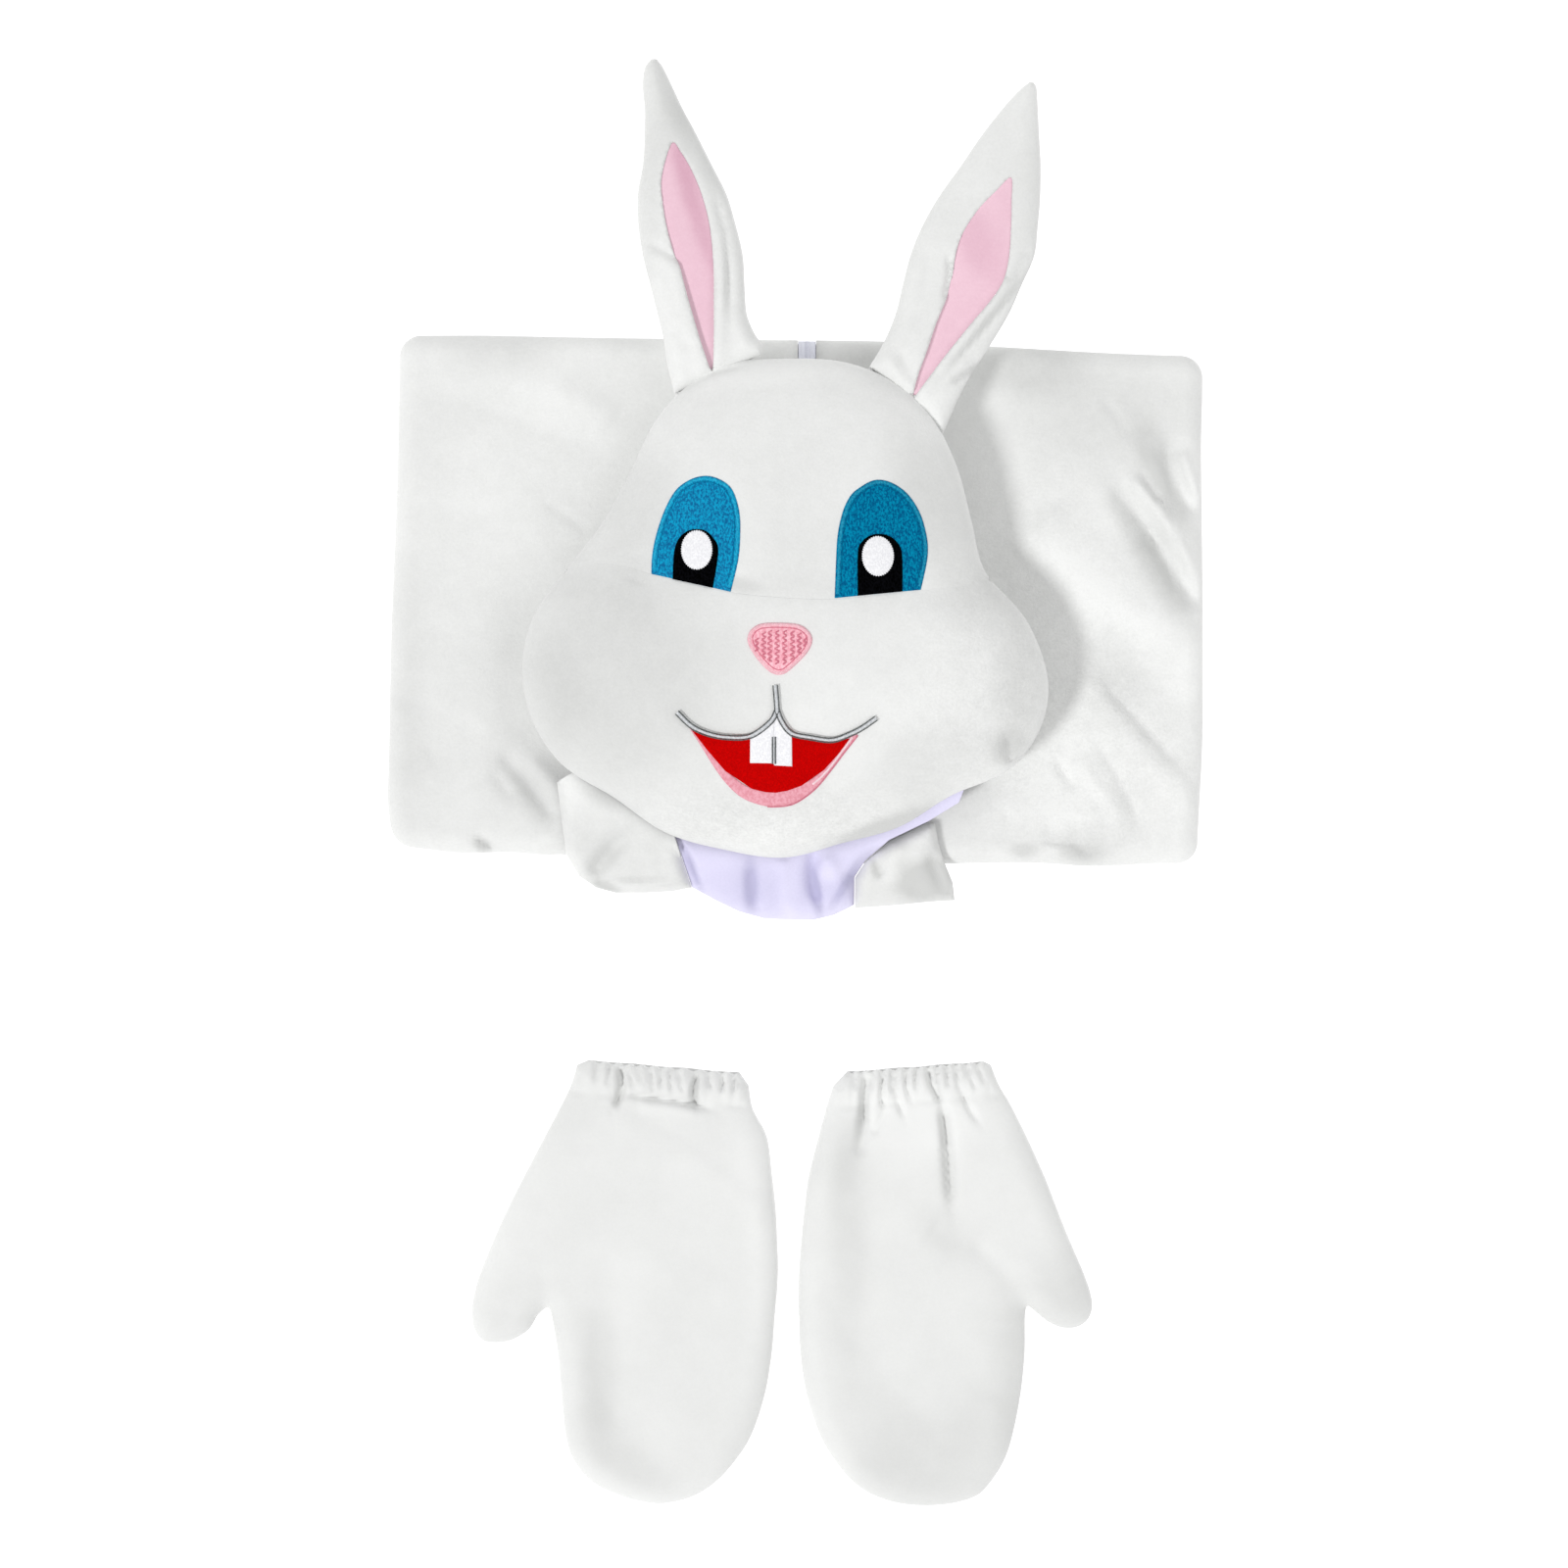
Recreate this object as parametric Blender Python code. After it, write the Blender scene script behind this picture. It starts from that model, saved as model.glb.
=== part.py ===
"""Bunny costume laid out flat: a folded plush jumpsuit, the padded hood on top of it, two mittens.

Sizes are in millimetres in this file and become metres where the meshes are made.
The costume lies on a table at z = 0 with its front up; +Y points to the tips of the ears.
"""
import math

import bmesh
import bpy
from mathutils import Vector
from mathutils.geometry import delaunay_2d_cdt

for old in list(bpy.data.objects):
    bpy.data.objects.remove(old)

MM = 0.001
GAP = 0.3              # between pieces that touch at a seam

# Folded jumpsuit
BODY_TOP = 40.0        # height of the folded pack
CLOTH = 2.5            # plush cloth with its pile
EDGE_ROLL = 12.0       # radius of the rolled edge of the upper fold
CORNER = 16.0          # corner radius in plan
ZIP_LEFT, ZIP_RIGHT = 1.4, 12.0

# Hood
HEAD_X, HEAD_Y = -7.2, 96.5
HEAD_MID = 76.0        # height of the seam round the hood
HEAD_FLOOR = BODY_TOP + GAP
CHIN_DROP = 18.0       # how far the neck rim sags under the chin
WALL_PLAN, WALL_RISE = 0.966, 0.90

# Mittens
PALM_THICK = 7.0
BACK_PUFF = 11.0


def table(names, *rows):
    """A table with named columns; each row is one section, fold or station."""
    return {name: [row[i] for row in rows] for i, name in enumerate(names.split())}


# Radius of the hood's seam line from its middle; 0 degrees is +X, 90 is the crown, 270 the chin
HOOD = table(
    "angle radius",
    (0, 146), (15, 124), (30, 128), (45, 142), (60, 157), (75, 161),
    (90, 159), (105, 159), (120, 146), (135, 129), (150, 124), (165, 133),
    (180, 151), (195, 159), (210, 156), (225, 143), (240, 141), (255, 137),
    (270, 137), (285, 133), (300, 137), (315, 141), (330, 160), (345, 162))

# Seam between the upper face and the muzzle
FACE_SEAM = table(
    "x y",
    (-150, 125), (-135, 128.5), (-115, 131), (-99, 128.5), (-84, 123.6), (-58, 117),
    (-37, 112.8), (-7, 111), (23, 111.4), (62, 115.4), (95, 119), (112, 123), (125, 128))

# Soft folds in the jumpsuit's front; a negative height is a trough
FOLDS = table(
    "from_x from_y to_x to_y height half_width",
    (194, 178, 238, 112, -6.0, 9), (208, 214, 243, 152, -5.5, 9),
    (198, 192, 240, 128, 4.0, 8), (138, 165, 243, 88, 4.5, 22),
    (179, 68, 241, 6, -4.0, 9), (156, 18, 172, -6, -3.0, 7),
    (180, 6, 207, -32, -3.0, 8), (205, 40, 235, 12, 2.5, 9),
    (-152, 173, -130, 153, -2.0, 8), (-177, 15, -144, -21, -3.5, 9),
    (-210, 235, -110, 190, 2.0, 18), (-225, 60, -175, 15, 1.5, 16))

EAR_LEFT = table(
    "left_x left_y right_x right_y lip_left lip_right recess half_thick",
    (-87.5, 431, -82.5, 431, .46, .54, 0, 3.0), (-90.7, 421, -76.0, 421, .46, .54, 0, 5.5),
    (-90.0, 405, -67.5, 405, .46, .54, 0, 7.5), (-90.0, 391, -60.0, 391, .48, .56, 0, 8.5),
    (-90.3, 383, -56.0, 383, .47, .58, 4.5, 9.0), (-91.0, 372, -50.5, 372, .33, .62, 7, 9.5),
    (-94.0, 354, -41.5, 354, .25, .705, 7, 10), (-95.0, 336, -36.0, 336, .28, .705, 7, 10),
    (-92.5, 317, -31.6, 317, .30, .696, 7, 10), (-87.5, 298, -30.5, 298, .36, .667, 7, 10),
    (-82.7, 282, -26.4, 282, .355, .595, 7, 10), (-79.0, 267, -22.0, 270, .379, .533, 6, 10),
    (-76.3, 252, -19.0, 265, .43, .50, 3.5, 10), (-72.2, 234.8, -16.5, 260.5, .44, .50, 0, 10))

EAR_RIGHT = table(
    "left_x left_y right_x right_y lip_left lip_right recess half_thick",
    (134.5, 417, 141.5, 417, .58, .68, 0, 3.0), (125.0, 406, 143.7, 408, .58, .68, 0, 5.5),
    (109.5, 388, 144.5, 388, .58, .68, 0, 7.5), (98.0, 371, 145.3, 372, .58, .66, 0, 8.5),
    (91.5, 361, 145.3, 362, .62, .70, 4.5, 9.0), (84.5, 352, 145.0, 352, .545, .71, 7, 9.5),
    (74.5, 334, 143.5, 334, .42, .768, 7, 10), (67.7, 317, 141.4, 317, .39, .80, 7, 10),
    (63.3, 300, 134.0, 300, .406, .85, 7, 10), (59.5, 284, 126.0, 282, .413, .80, 7, 10),
    (55.0, 272, 114.0, 262, .47, .71, 6, 10), (49.7, 261, 99.0, 238, .51, .67, 3.5, 10),
    (43.3, 250.8, 86.8, 210.7, .54, .62, 0, 10))

EYE_LEFT = table(
    "left_x left_y right_x right_y",
    (-57, 183, -49, 183), (-65, 180, -41, 179.5), (-71.5, 174.5, -36, 174), (-77.5, 164, -32.5, 163),
    (-82, 150, -31.8, 150), (-84.2, 136, -33, 134), (-84.4, 124.8, -37.5, 114.5))
EYE_RIGHT = table(
    "left_x left_y right_x right_y",
    (45, 180.8, 53, 180.5), (37, 176.5, 61, 176.5), (31.5, 171.5, 67.5, 170), (27, 162, 73, 160),
    (24, 148, 76.5, 146), (23, 130, 76.3, 134), (22.5, 112.8, 72.3, 117.9))
PUPIL_LEFT = table(
    "left_x left_y right_x right_y",
    (-62, 151.5, -54, 151.5), (-68, 147, -48.5, 147), (-70.7, 139, -45.2, 139), (-70.7, 123.2, -47.6, 118.2))
PUPIL_RIGHT = table(
    "left_x left_y right_x right_y",
    (44.5, 148.8, 52.5, 148.6), (38.5, 145, 58.5, 144.5), (35.7, 138, 61.4, 137), (35.7, 115.6, 61.2, 118.2))
NOSE = table(
    "left_x left_y right_x right_y",
    (-20, 96.8, 1, 96.3), (-27, 93, 7.5, 92), (-28.9, 88, 9.3, 87), (-25, 79, 5, 78),
    (-17, 70.5, -2, 70), (-12, 66.8, -7.5, 66.8))
MOUTH = table(
    "left_x left_y right_x right_y",
    (-60.3, 35.0, -60.1, 34.2), (-51, 33, -51.5, 23.5), (-41.5, 32, -41.5, 11.5), (-26.5, 32.5, -26, 2.3),
    (-18, 38, -18, -0.5), (-11.8, 44, -11.8, -1.1), (-5, 37, -5, 0), (2, 31.5, 3, 2.4),
    (16.2, 29, 16.2, 12.6), (24, 28.6, 24.5, 20.5), (30.5, 30.2, 30.7, 29.4))
LIP = table(
    "left_x left_y right_x right_y",
    (-61.0, 33.4, -62.0, 34.2), (-52.1, 22.8, -54.6, 21.2), (-42.1, 10.7, -46.6, 7.8),
    (-26.4, 1.3, -28.5, -5.6), (-18.1, -1.5, -18.8, -9.0), (-11.8, -2.1, -11.3, -10.0),
    (-4.8, -1.0, -2.5, -8.4), (3.3, 1.4, 7.0, -3.6), (16.9, 11.8, 21.6, 9.2),
    (25.3, 19.9, 29.3, 19.4), (31.5, 28.9, 36.0, 31.3))
TOOTH_LEFT = table(
    "left_x left_y right_x right_y",
    (-25.2, 32.6, -13.5, 41.0), (-26.6, 29.5, -13.2, 36), (-26.8, 20, -13.4, 20), (-24.8, 15.4, -15.2, 15.2))
TOOTH_RIGHT = table(
    "left_x left_y right_x right_y",
    (-10.6, 41.0, -3.4, 33.0), (-10.3, 36, -2.3, 30.5), (-9.9, 19.5, -2.3, 18), (-8.4, 14.4, -3.9, 14.0))

# Mittens: the hand's two sides from the wrist down, and the thumb's two sides
MITTEN_LEFT = table(
    "y left right",
    (-168, -133.5, -29.6), (-181, -137.5, -28.6), (-195, -144.4, -26.2), (-212, -153.4, -17.6),
    (-236, -165.9, -14.4), (-254, -175.0, -12.4), (-272, -183.3, -11.4), (-296, -192.9, -10.8))
MITTEN_LEFT_THUMB = table(
    "y left right",
    (-310, -196.6, -153.6), (-320, -197.6, -157.0), (-330, -195.6, -163.6), (-336.5, -189.5, -176.0))
MITTEN_LEFT_HAND = table(
    "y left right",
    (-324, -148.3, -13.0), (-344, -145.2, -14.6), (-368, -143.0, -18.6), (-392, -140.6, -26.4),
    (-408, -136.0, -36.0), (-422, -124.5, -48.5), (-431, -106.0, -62.5), (-435, -89.0, -78.0))
MITTEN_RIGHT = table(
    "y left right",
    (-168, 26.6, 119.0), (-181, 22.8, 124.4), (-192, 19.2, 131.0), (-212, 13.8, 141.0),
    (-236, 7.8, 151.8), (-254, 5.4, 158.8), (-272, 3.6, 165.9), (-296, 1.8, 176.1))
MITTEN_RIGHT_THUMB = table(
    "y left right",
    (-309, 142.4, 180.2), (-317, 144.6, 180.6), (-324, 153.0, 177.4), (-328, 162.0, 170.6))
MITTEN_RIGHT_HAND = table(
    "y left right",
    (-322, 1.8, 139.8), (-344, 2.8, 139.6), (-368, 6.3, 137.2), (-392, 14.0, 132.6),
    (-408, 23.0, 127.5), (-422, 34.7, 119.0), (-431, 49.0, 109.6), (-436, 68.0, 91.0))


def read_between(keys, values, at):
    """Smooth value between a table's rows, with flat continuation past its ends."""
    if at <= keys[0]:
        return values[0]
    if at >= keys[-1]:
        return values[-1]
    i = max(k for k in range(len(keys) - 1) if keys[k] <= at)
    low, high = max(i - 1, 0), min(i + 2, len(keys) - 1)
    span = keys[i + 1] - keys[i]
    t = (at - keys[i]) / span
    slope_a = (values[i + 1] - values[low]) / (keys[i + 1] - keys[low]) * span
    slope_b = (values[high] - values[i]) / (keys[high] - keys[i]) * span
    return ((2 * t**3 - 3 * t**2 + 1) * values[i] + (t**3 - 2 * t**2 + t) * slope_a
            + (3 * t**2 - 2 * t**3) * values[i + 1] + (t**3 - t**2) * slope_b)


def ease(low, high, value):
    """0 below low, 1 above high, smooth between."""
    t = min(max((value - low) / (high - low), 0.0), 1.0)
    return t * t * (3 - 2 * t)


def edge_distance(x, y, outline):
    """Distance in plan from a point to a closed outline."""
    best = 1e9
    for i, (ax, ay) in enumerate(outline):
        bx, by = outline[(i + 1) % len(outline)]
        length = (bx - ax)**2 + (by - ay)**2
        t = min(max(((x - ax) * (bx - ax) + (y - ay) * (by - ay)) / max(length, 1e-9), 0), 1)
        best = min(best, math.hypot(ax + t * (bx - ax) - x, ay + t * (by - ay) - y))
    return best


def inside(x, y, outline):
    """Whether a point lies within a closed outline."""
    found = False
    for i, (ax, ay) in enumerate(outline):
        bx, by = outline[(i + 1) % len(outline)]
        if (ay > y) != (by > y) and x < (bx - ax) * (y - ay) / (by - ay) + ax:
            found = not found
    return found


collection = bpy.data.collections.new("bunny_costume")
bpy.context.scene.collection.children.link(collection)


def material(name, colour, roughness):
    made = bpy.data.materials.get(name)
    if made is None:
        made = bpy.data.materials.new(name)
        made.use_nodes = True
        shader = made.node_tree.nodes["Principled BSDF"]
        shader.inputs["Base Color"].default_value = (*colour, 1)
        shader.inputs["Roughness"].default_value = roughness
        shader.inputs["Metallic"].default_value = 0.0
        made.diffuse_color = (*colour, 1)
    return made


PLUSH = material("white_plush", (0.82, 0.83, 0.82), 0.95)
PINK = material("pink_plush", (0.93, 0.58, 0.66), 0.9)
LILAC = material("lilac_lining", (0.74, 0.72, 0.90), 0.6)
ZIP = material("zip_tape", (0.70, 0.68, 0.88), 0.6)
BLUE = material("blue_applique", (0.0, 0.22, 0.45), 0.5)
BLACK = material("black_applique", (0.01, 0.01, 0.01), 0.45)
WHITE = material("white_applique", (0.82, 0.80, 0.90), 0.5)
ROSE = material("rose_applique", (0.90, 0.32, 0.38), 0.5)
RED = material("red_applique", (0.66, 0.0, 0.01), 0.5)


def solid(name, points, faces, look):
    """One closed body from points in millimetres."""
    mesh = bpy.data.meshes.new(name)
    mesh.from_pydata([tuple(v * MM for v in p) for p in points], [], faces)
    work = bmesh.new()
    work.from_mesh(mesh)
    bmesh.ops.recalc_face_normals(work, faces=work.faces)
    if work.calc_volume(signed=True) < 0:
        bmesh.ops.reverse_faces(work, faces=work.faces)
    work.to_mesh(mesh)
    work.free()
    mesh.shade_smooth()
    made = bpy.data.objects.new(name, mesh)
    made.data.materials.append(look)
    collection.objects.link(made)
    return made


def wall(name, upper, lower, faces, look):
    """A wall between two surfaces with the same faces, closed along every free edge."""
    n = len(upper)
    used = {}
    for face in faces:
        for i, a in enumerate(face):
            b = face[(i + 1) % len(face)]
            used[(a, b)] = used.get((a, b), 0) + 1
    rim = [(a, b) for a, b in used if (b, a) not in used]
    sides = [(b, a, a + n, b + n) for a, b in rim]
    under = [tuple(v + n for v in reversed(face)) for face in faces]
    return solid(name, list(upper) + list(lower), list(faces) + under + sides, look)


def grid_faces(rows, columns):
    """Triangles of a grid, all split the same way so that stacked surfaces stay parallel."""
    faces = []
    for r in range(rows - 1):
        for c in range(columns - 1):
            a, b = r * columns + c, r * columns + c + 1
            faces += [(a, b, b + columns), (a, b + columns, a + columns)]
    return faces


def fill_plan(outline, candidates, clear):
    """Triangles over a closed outline in plan, through those inner points that stand clear."""
    points = list(outline)
    for x, y in candidates:
        if not inside(x, y, outline) or edge_distance(x, y, outline) < clear(x, y) * 0.8:
            continue
        if all(math.hypot(x - px, y - py) > clear(x, y) for px, py in points[len(outline):]):
            points.append((x, y))
    n = len(outline)
    edges = [(i, (i + 1) % n) for i in range(n)]
    made = delaunay_2d_cdt([Vector(p) for p in points], edges, [], 1, 1e-5)
    return [tuple(v) for v in made[0]], [tuple(f) for f in made[2]]


def mesh_of_points(low_x, low_y, high_x, high_y, step):
    """Staggered rows of points over a rectangle."""
    rows = int((high_y - low_y) / (step * 0.87)) + 1
    columns = int((high_x - low_x) / step) + 2
    return [(low_x + (c + 0.5 * (r % 2)) * step, low_y + r * step * 0.87)
            for r in range(rows + 1) for c in range(columns)]


def bounds_of(outline):
    xs = [p[0] for p in outline]
    ys = [p[1] for p in outline]
    return min(xs), min(ys), max(xs), max(ys)


# Folded jumpsuit
# The pack is a slightly skewed rectangle with round corners and a rolled upper edge.

def body_left(y):
    return -238.6 - 0.030 * (262 - y) + 1.2 * math.sin(y / 62.0)


def body_right(y):
    return 245.4 + 0.9 * math.sin(y / 70.0 + 0.5) - 2.2 * ease(40, -45, y)


def body_low(x):
    return -40.5 - 0.014 * x - 1.6 * math.sin(x / 48.0 + 0.6)


def body_high(x):
    return 270.0 - 0.019 * x + 0.8 * math.sin(x / 90.0)


def fold_height(x, y):
    """Soft troughs and ridges, only where the hood leaves the front bare."""
    total = 0.0
    for fx, fy, tx, ty, height, half in zip(*FOLDS.values()):
        length = math.hypot(tx - fx, ty - fy)
        along = ((x - fx) * (tx - fx) + (y - fy) * (ty - fy)) / length
        across = abs((x - fx) * (ty - fy) - (y - fy) * (tx - fx)) / length
        ends = ease(-half, half, along) * ease(-half, half, length - along)
        total += height * ends * math.exp(-(across / half)**2)
    return total * ease(1.0, 1.15, hood_ratio(x, y))


def hood_radius(angle):
    """Radius of the hood's seam line at an angle in degrees."""
    angles = HOOD["angle"][-3:] + HOOD["angle"] + HOOD["angle"][:3]
    turns = [a - 360 for a in angles[:3]] + angles[3:-3] + [a + 360 for a in angles[-3:]]
    radii = HOOD["radius"][-3:] + HOOD["radius"] + HOOD["radius"][:3]
    return read_between(turns, radii, angle % 360)


def hood_ratio(x, y):
    away = math.hypot(x - HEAD_X, y - HEAD_Y)
    return away / hood_radius(math.degrees(math.atan2(y - HEAD_Y, x - HEAD_X)))


def edge_lines(turns, spread):
    """Grid lines in from an edge: inset and turn on the rolled part, then the corner's flat part."""
    return [("roll", turn) for turn in turns] + [("flat", inset) for inset in spread]


def line_place(line, lift):
    """Inset from the edge, drop below the top and reach in from the corner's middle."""
    kind, value = line
    if kind == "roll":
        turn = math.radians(value)
        radius = EDGE_ROLL + lift
        return (EDGE_ROLL - radius * math.sin(turn), EDGE_ROLL - radius * math.cos(turn),
                CORNER - EDGE_ROLL + EDGE_ROLL * turn)
    return value, -lift, CORNER - value


def body_point(side_x, line_x, side_y, line_y, lift, folds=True):
    """A point of the pack's upper skin. A side of 0 means the line is a plain x or y."""
    inset_x, drop_x, reach_x = line_place(line_x, lift) if side_x else (0, -lift, -1)
    inset_y, drop_y, reach_y = line_place(line_y, lift) if side_y else (0, -lift, -1)
    if side_x and side_y and reach_x > 0 and reach_y > 0:
        inset, drop = (inset_x, drop_x) if reach_x > reach_y else (inset_y, drop_y)
        size = math.hypot(reach_x, reach_y)
        inset_x = CORNER - (CORNER - inset) * reach_x / size
        inset_y = CORNER - (CORNER - inset) * reach_y / size
        drop_x = drop_y = drop
    drop = max(drop_x, drop_y)
    x = line_x if not side_x else 0.0
    y = line_y if not side_y else 0.0
    for _ in range(2):
        if side_x:
            x = body_left(y) + inset_x if side_x < 0 else body_right(y) - inset_x
        if side_y:
            y = body_low(x) + inset_y if side_y < 0 else body_high(x) - inset_y
    z = BODY_TOP - drop
    if folds:
        z += fold_height(x, y) * max(0.0, 1 - (drop + lift) / (EDGE_ROLL + lift))
    return x, y, z


WRAP = edge_lines((100, 66, 33, 0), ())
LEFT_X = [-224, -204, -184, -164, -140, -100, -50]
RIGHT_X = [60, 105] + [130 + 14 * i for i in range(8)]
Y_BARE = [248 - 14.6 * i for i in range(19)]


def body_skin(columns, rows, lift):
    """Points of the upper skin on a grid of (side, line) columns and rows."""
    return [body_point(sx, lx, sy, ly, lift) for sy, ly in rows for sx, lx in columns]


def body_rows(wrap):
    return [(1, line) for line in wrap] + [(0, y) for y in Y_BARE] + [(-1, line) for line in reversed(wrap)]


left_columns = [(-1, line) for line in WRAP] + [(0, x) for x in LEFT_X + [ZIP_LEFT - GAP]]
rows = body_rows(WRAP)
wall("front_left", body_skin(left_columns, rows, 0), body_skin(left_columns, rows, -CLOTH),
     grid_faces(len(rows), len(left_columns)), PLUSH)

right_columns = [(0, x) for x in [ZIP_RIGHT + GAP] + RIGHT_X] + [(1, line) for line in reversed(WRAP)]
wall("front_right", body_skin(right_columns, rows, 0), body_skin(right_columns, rows, -CLOTH),
     grid_faces(len(rows), len(right_columns)), PLUSH)

zip_columns = [(0, ZIP_LEFT), (0, ZIP_RIGHT)]
wall("zip_tape", body_skin(zip_columns, rows, -0.6), body_skin(zip_columns, rows, -CLOTH),
     grid_faces(len(rows), 2), ZIP)


def folded_pack():
    """The hidden layers as one rounded solid, its sides layered like the folds of the cloth."""
    lift = -CLOTH - GAP
    columns = left_columns + right_columns
    lines = rows
    points = body_skin(columns, lines, lift)
    faces = grid_faces(len(lines), len(columns))
    nc, nr = len(columns), len(lines)
    ring = [c for c in range(nc)] + [r * nc + nc - 1 for r in range(1, nr)]
    ring += [(nr - 1) * nc + c for c in range(nc - 2, -1, -1)] + [r * nc for r in range(nr - 2, 0, -1)]
    layers = table(
        "inset height",
        (7.0, 24.6), (2.2, 21.6), (0.6, 17.4), (6.0, 13.0), (2.0, 9.6), (1.8, 4.6), (5.0, 0.0))
    base = [points[i] for i in ring]
    low_x, high_x = min(p[0] for p in base), max(p[0] for p in base)
    low_y, high_y = min(p[1] for p in base), max(p[1] for p in base)
    mid = ((low_x + high_x) / 2, (low_y + high_y) / 2)
    half = ((high_x - low_x) / 2, (high_y - low_y) / 2)
    last = ring
    for inset, height in zip(layers["inset"], layers["height"]):
        start = len(points)
        shrink = inset - CLOTH - GAP
        for x, y, _ in base:
            points.append((mid[0] + (x - mid[0]) * (1 - shrink / half[0]),
                           mid[1] + (y - mid[1]) * (1 - shrink / half[1]), height))
        new = list(range(start, start + len(base)))
        faces += [(last[i], last[(i + 1) % len(new)], new[(i + 1) % len(new)], new[i])
                  for i in range(len(new))]
        last = new
    faces.append(tuple(reversed(last)))
    return solid("folded_layers", points, faces, PLUSH)


folded_pack()


# Hood
# Its front and back meet in a seam that runs round the widest outline; the neck is open at the chin.

def seam_height(angle):
    return HEAD_MID - CHIN_DROP * ease(205, 250, angle % 360) * (1 - ease(285, 328, angle % 360))


def seam_line_y(x):
    return read_between(FACE_SEAM["x"], FACE_SEAM["y"], x)


def hood_top(x, y):
    """Height of the padded face over the plan."""
    angle = math.degrees(math.atan2(y - HEAD_Y, x - HEAD_X))
    ratio = min(hood_ratio(x, y), 1.0)
    rim = seam_height(angle)
    crown = 117 + 6 * math.exp(-((y - 70) / 42)**2)
    z = rim + (crown - rim) * math.sqrt(max(1 - ratio**2.7, 0))
    crease = 2.0 * math.exp(-((y - seam_line_y(x)) / 9)**2) * math.sqrt(max(1 - ratio**6, 0))
    return z - crease


def hood_normal(x, y):
    step = 0.5
    dx = (hood_top(x + step, y) - hood_top(x - step, y)) / (2 * step)
    dy = (hood_top(x, y + step) - hood_top(x, y - step)) / (2 * step)
    size = math.sqrt(1 + dx * dx + dy * dy)
    return -dx / size, -dy / size, 1 / size


def thin_in(point):
    """The inner side of the hood's wall: the outer side drawn in to its middle."""
    x, y, z = point
    return (HEAD_X + (x - HEAD_X) * WALL_PLAN, HEAD_Y + (y - HEAD_Y) * WALL_PLAN,
            HEAD_MID + (z - HEAD_MID) * WALL_RISE)


def hood_rim(start, stop, count, scale=1.0):
    """Points along the hood's seam line between two angles."""
    out = []
    for i in range(count + 1):
        angle = start + (stop - start) * i / count
        radius = hood_radius(angle) * scale
        out.append((HEAD_X + radius * math.cos(math.radians(angle)),
                    HEAD_Y + radius * math.sin(math.radians(angle))))
    return out


HOOD_RINGS = (0.992, 0.965, 0.915, 0.84)


def hood_candidates(step):
    rings = []
    for ratio in HOOD_RINGS:
        for i in range(48):
            angle = 360 / 48 * (i + 0.5 * (HOOD_RINGS.index(ratio) % 2))
            radius = hood_radius(angle) * ratio
            rings.append((HEAD_X + radius * math.cos(math.radians(angle)),
                          HEAD_Y + radius * math.sin(math.radians(angle))))
    crease = [(x + off / 2, seam_line_y(x) + off) for off in (8, -8, 18, -18) for x in range(-140, 130, 14)]
    field = [p for p in mesh_of_points(-165, -50, 160, 262, step) if hood_ratio(*p) < 0.74]
    return rings + crease + field


def hood_clear(x, y):
    """Closer points near the rim, where the cloth turns down."""
    return 0.7 + 8.6 * min(1.0, (1 - min(hood_ratio(x, y), 1)) * 4.5)


def face_panel(name, start, stop, count, side):
    """One panel of the hood's front, from the seam line across the face to the outline."""
    rim = hood_rim(start, stop, count)
    first, last = rim[0], rim[-1]
    across = 22
    seam = []
    for i in range(1, across):
        x = last[0] + (first[0] - last[0]) * i / across
        seam.append((x, seam_line_y(x) + side * GAP / 2))
    plan, faces = fill_plan(rim + seam, hood_candidates(17.0), hood_clear)
    upper = [(x, y, hood_top(x, y) + GAP / 2) for x, y in plan]
    lower = [thin_in((x, y, z - GAP / 2)) for x, y, z in upper]
    lower = [(x, y, z + GAP / 2) for x, y, z in lower]
    return wall(name, upper, lower, faces, PLUSH)


def seam_angle(side):
    """Where the face seam meets the hood's outline on one side."""
    best = None
    for i in range(0, 400):
        angle = (i * 0.1) if side > 0 else (180 - i * 0.1)
        radius = hood_radius(angle)
        x = HEAD_X + radius * math.cos(math.radians(angle))
        y = HEAD_Y + radius * math.sin(math.radians(angle))
        miss = abs(y - seam_line_y(x))
        if best is None or miss < best[0]:
            best = (miss, angle)
    return best[1]


seam_right, seam_left = seam_angle(1), seam_angle(-1)
face_panel("face_upper", seam_right + 0.08, seam_left - 0.08, 30, 1)
face_panel("muzzle", seam_left + 0.08, seam_right + 360 - 0.08, 40, -1)


def neck_open(angle):
    """1 where the back is drawn up to the seam, 0 across the open neck."""
    turn = angle % 360
    return 1 - ease(194, 214, turn) * (1 - ease(319, 338, turn))


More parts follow.
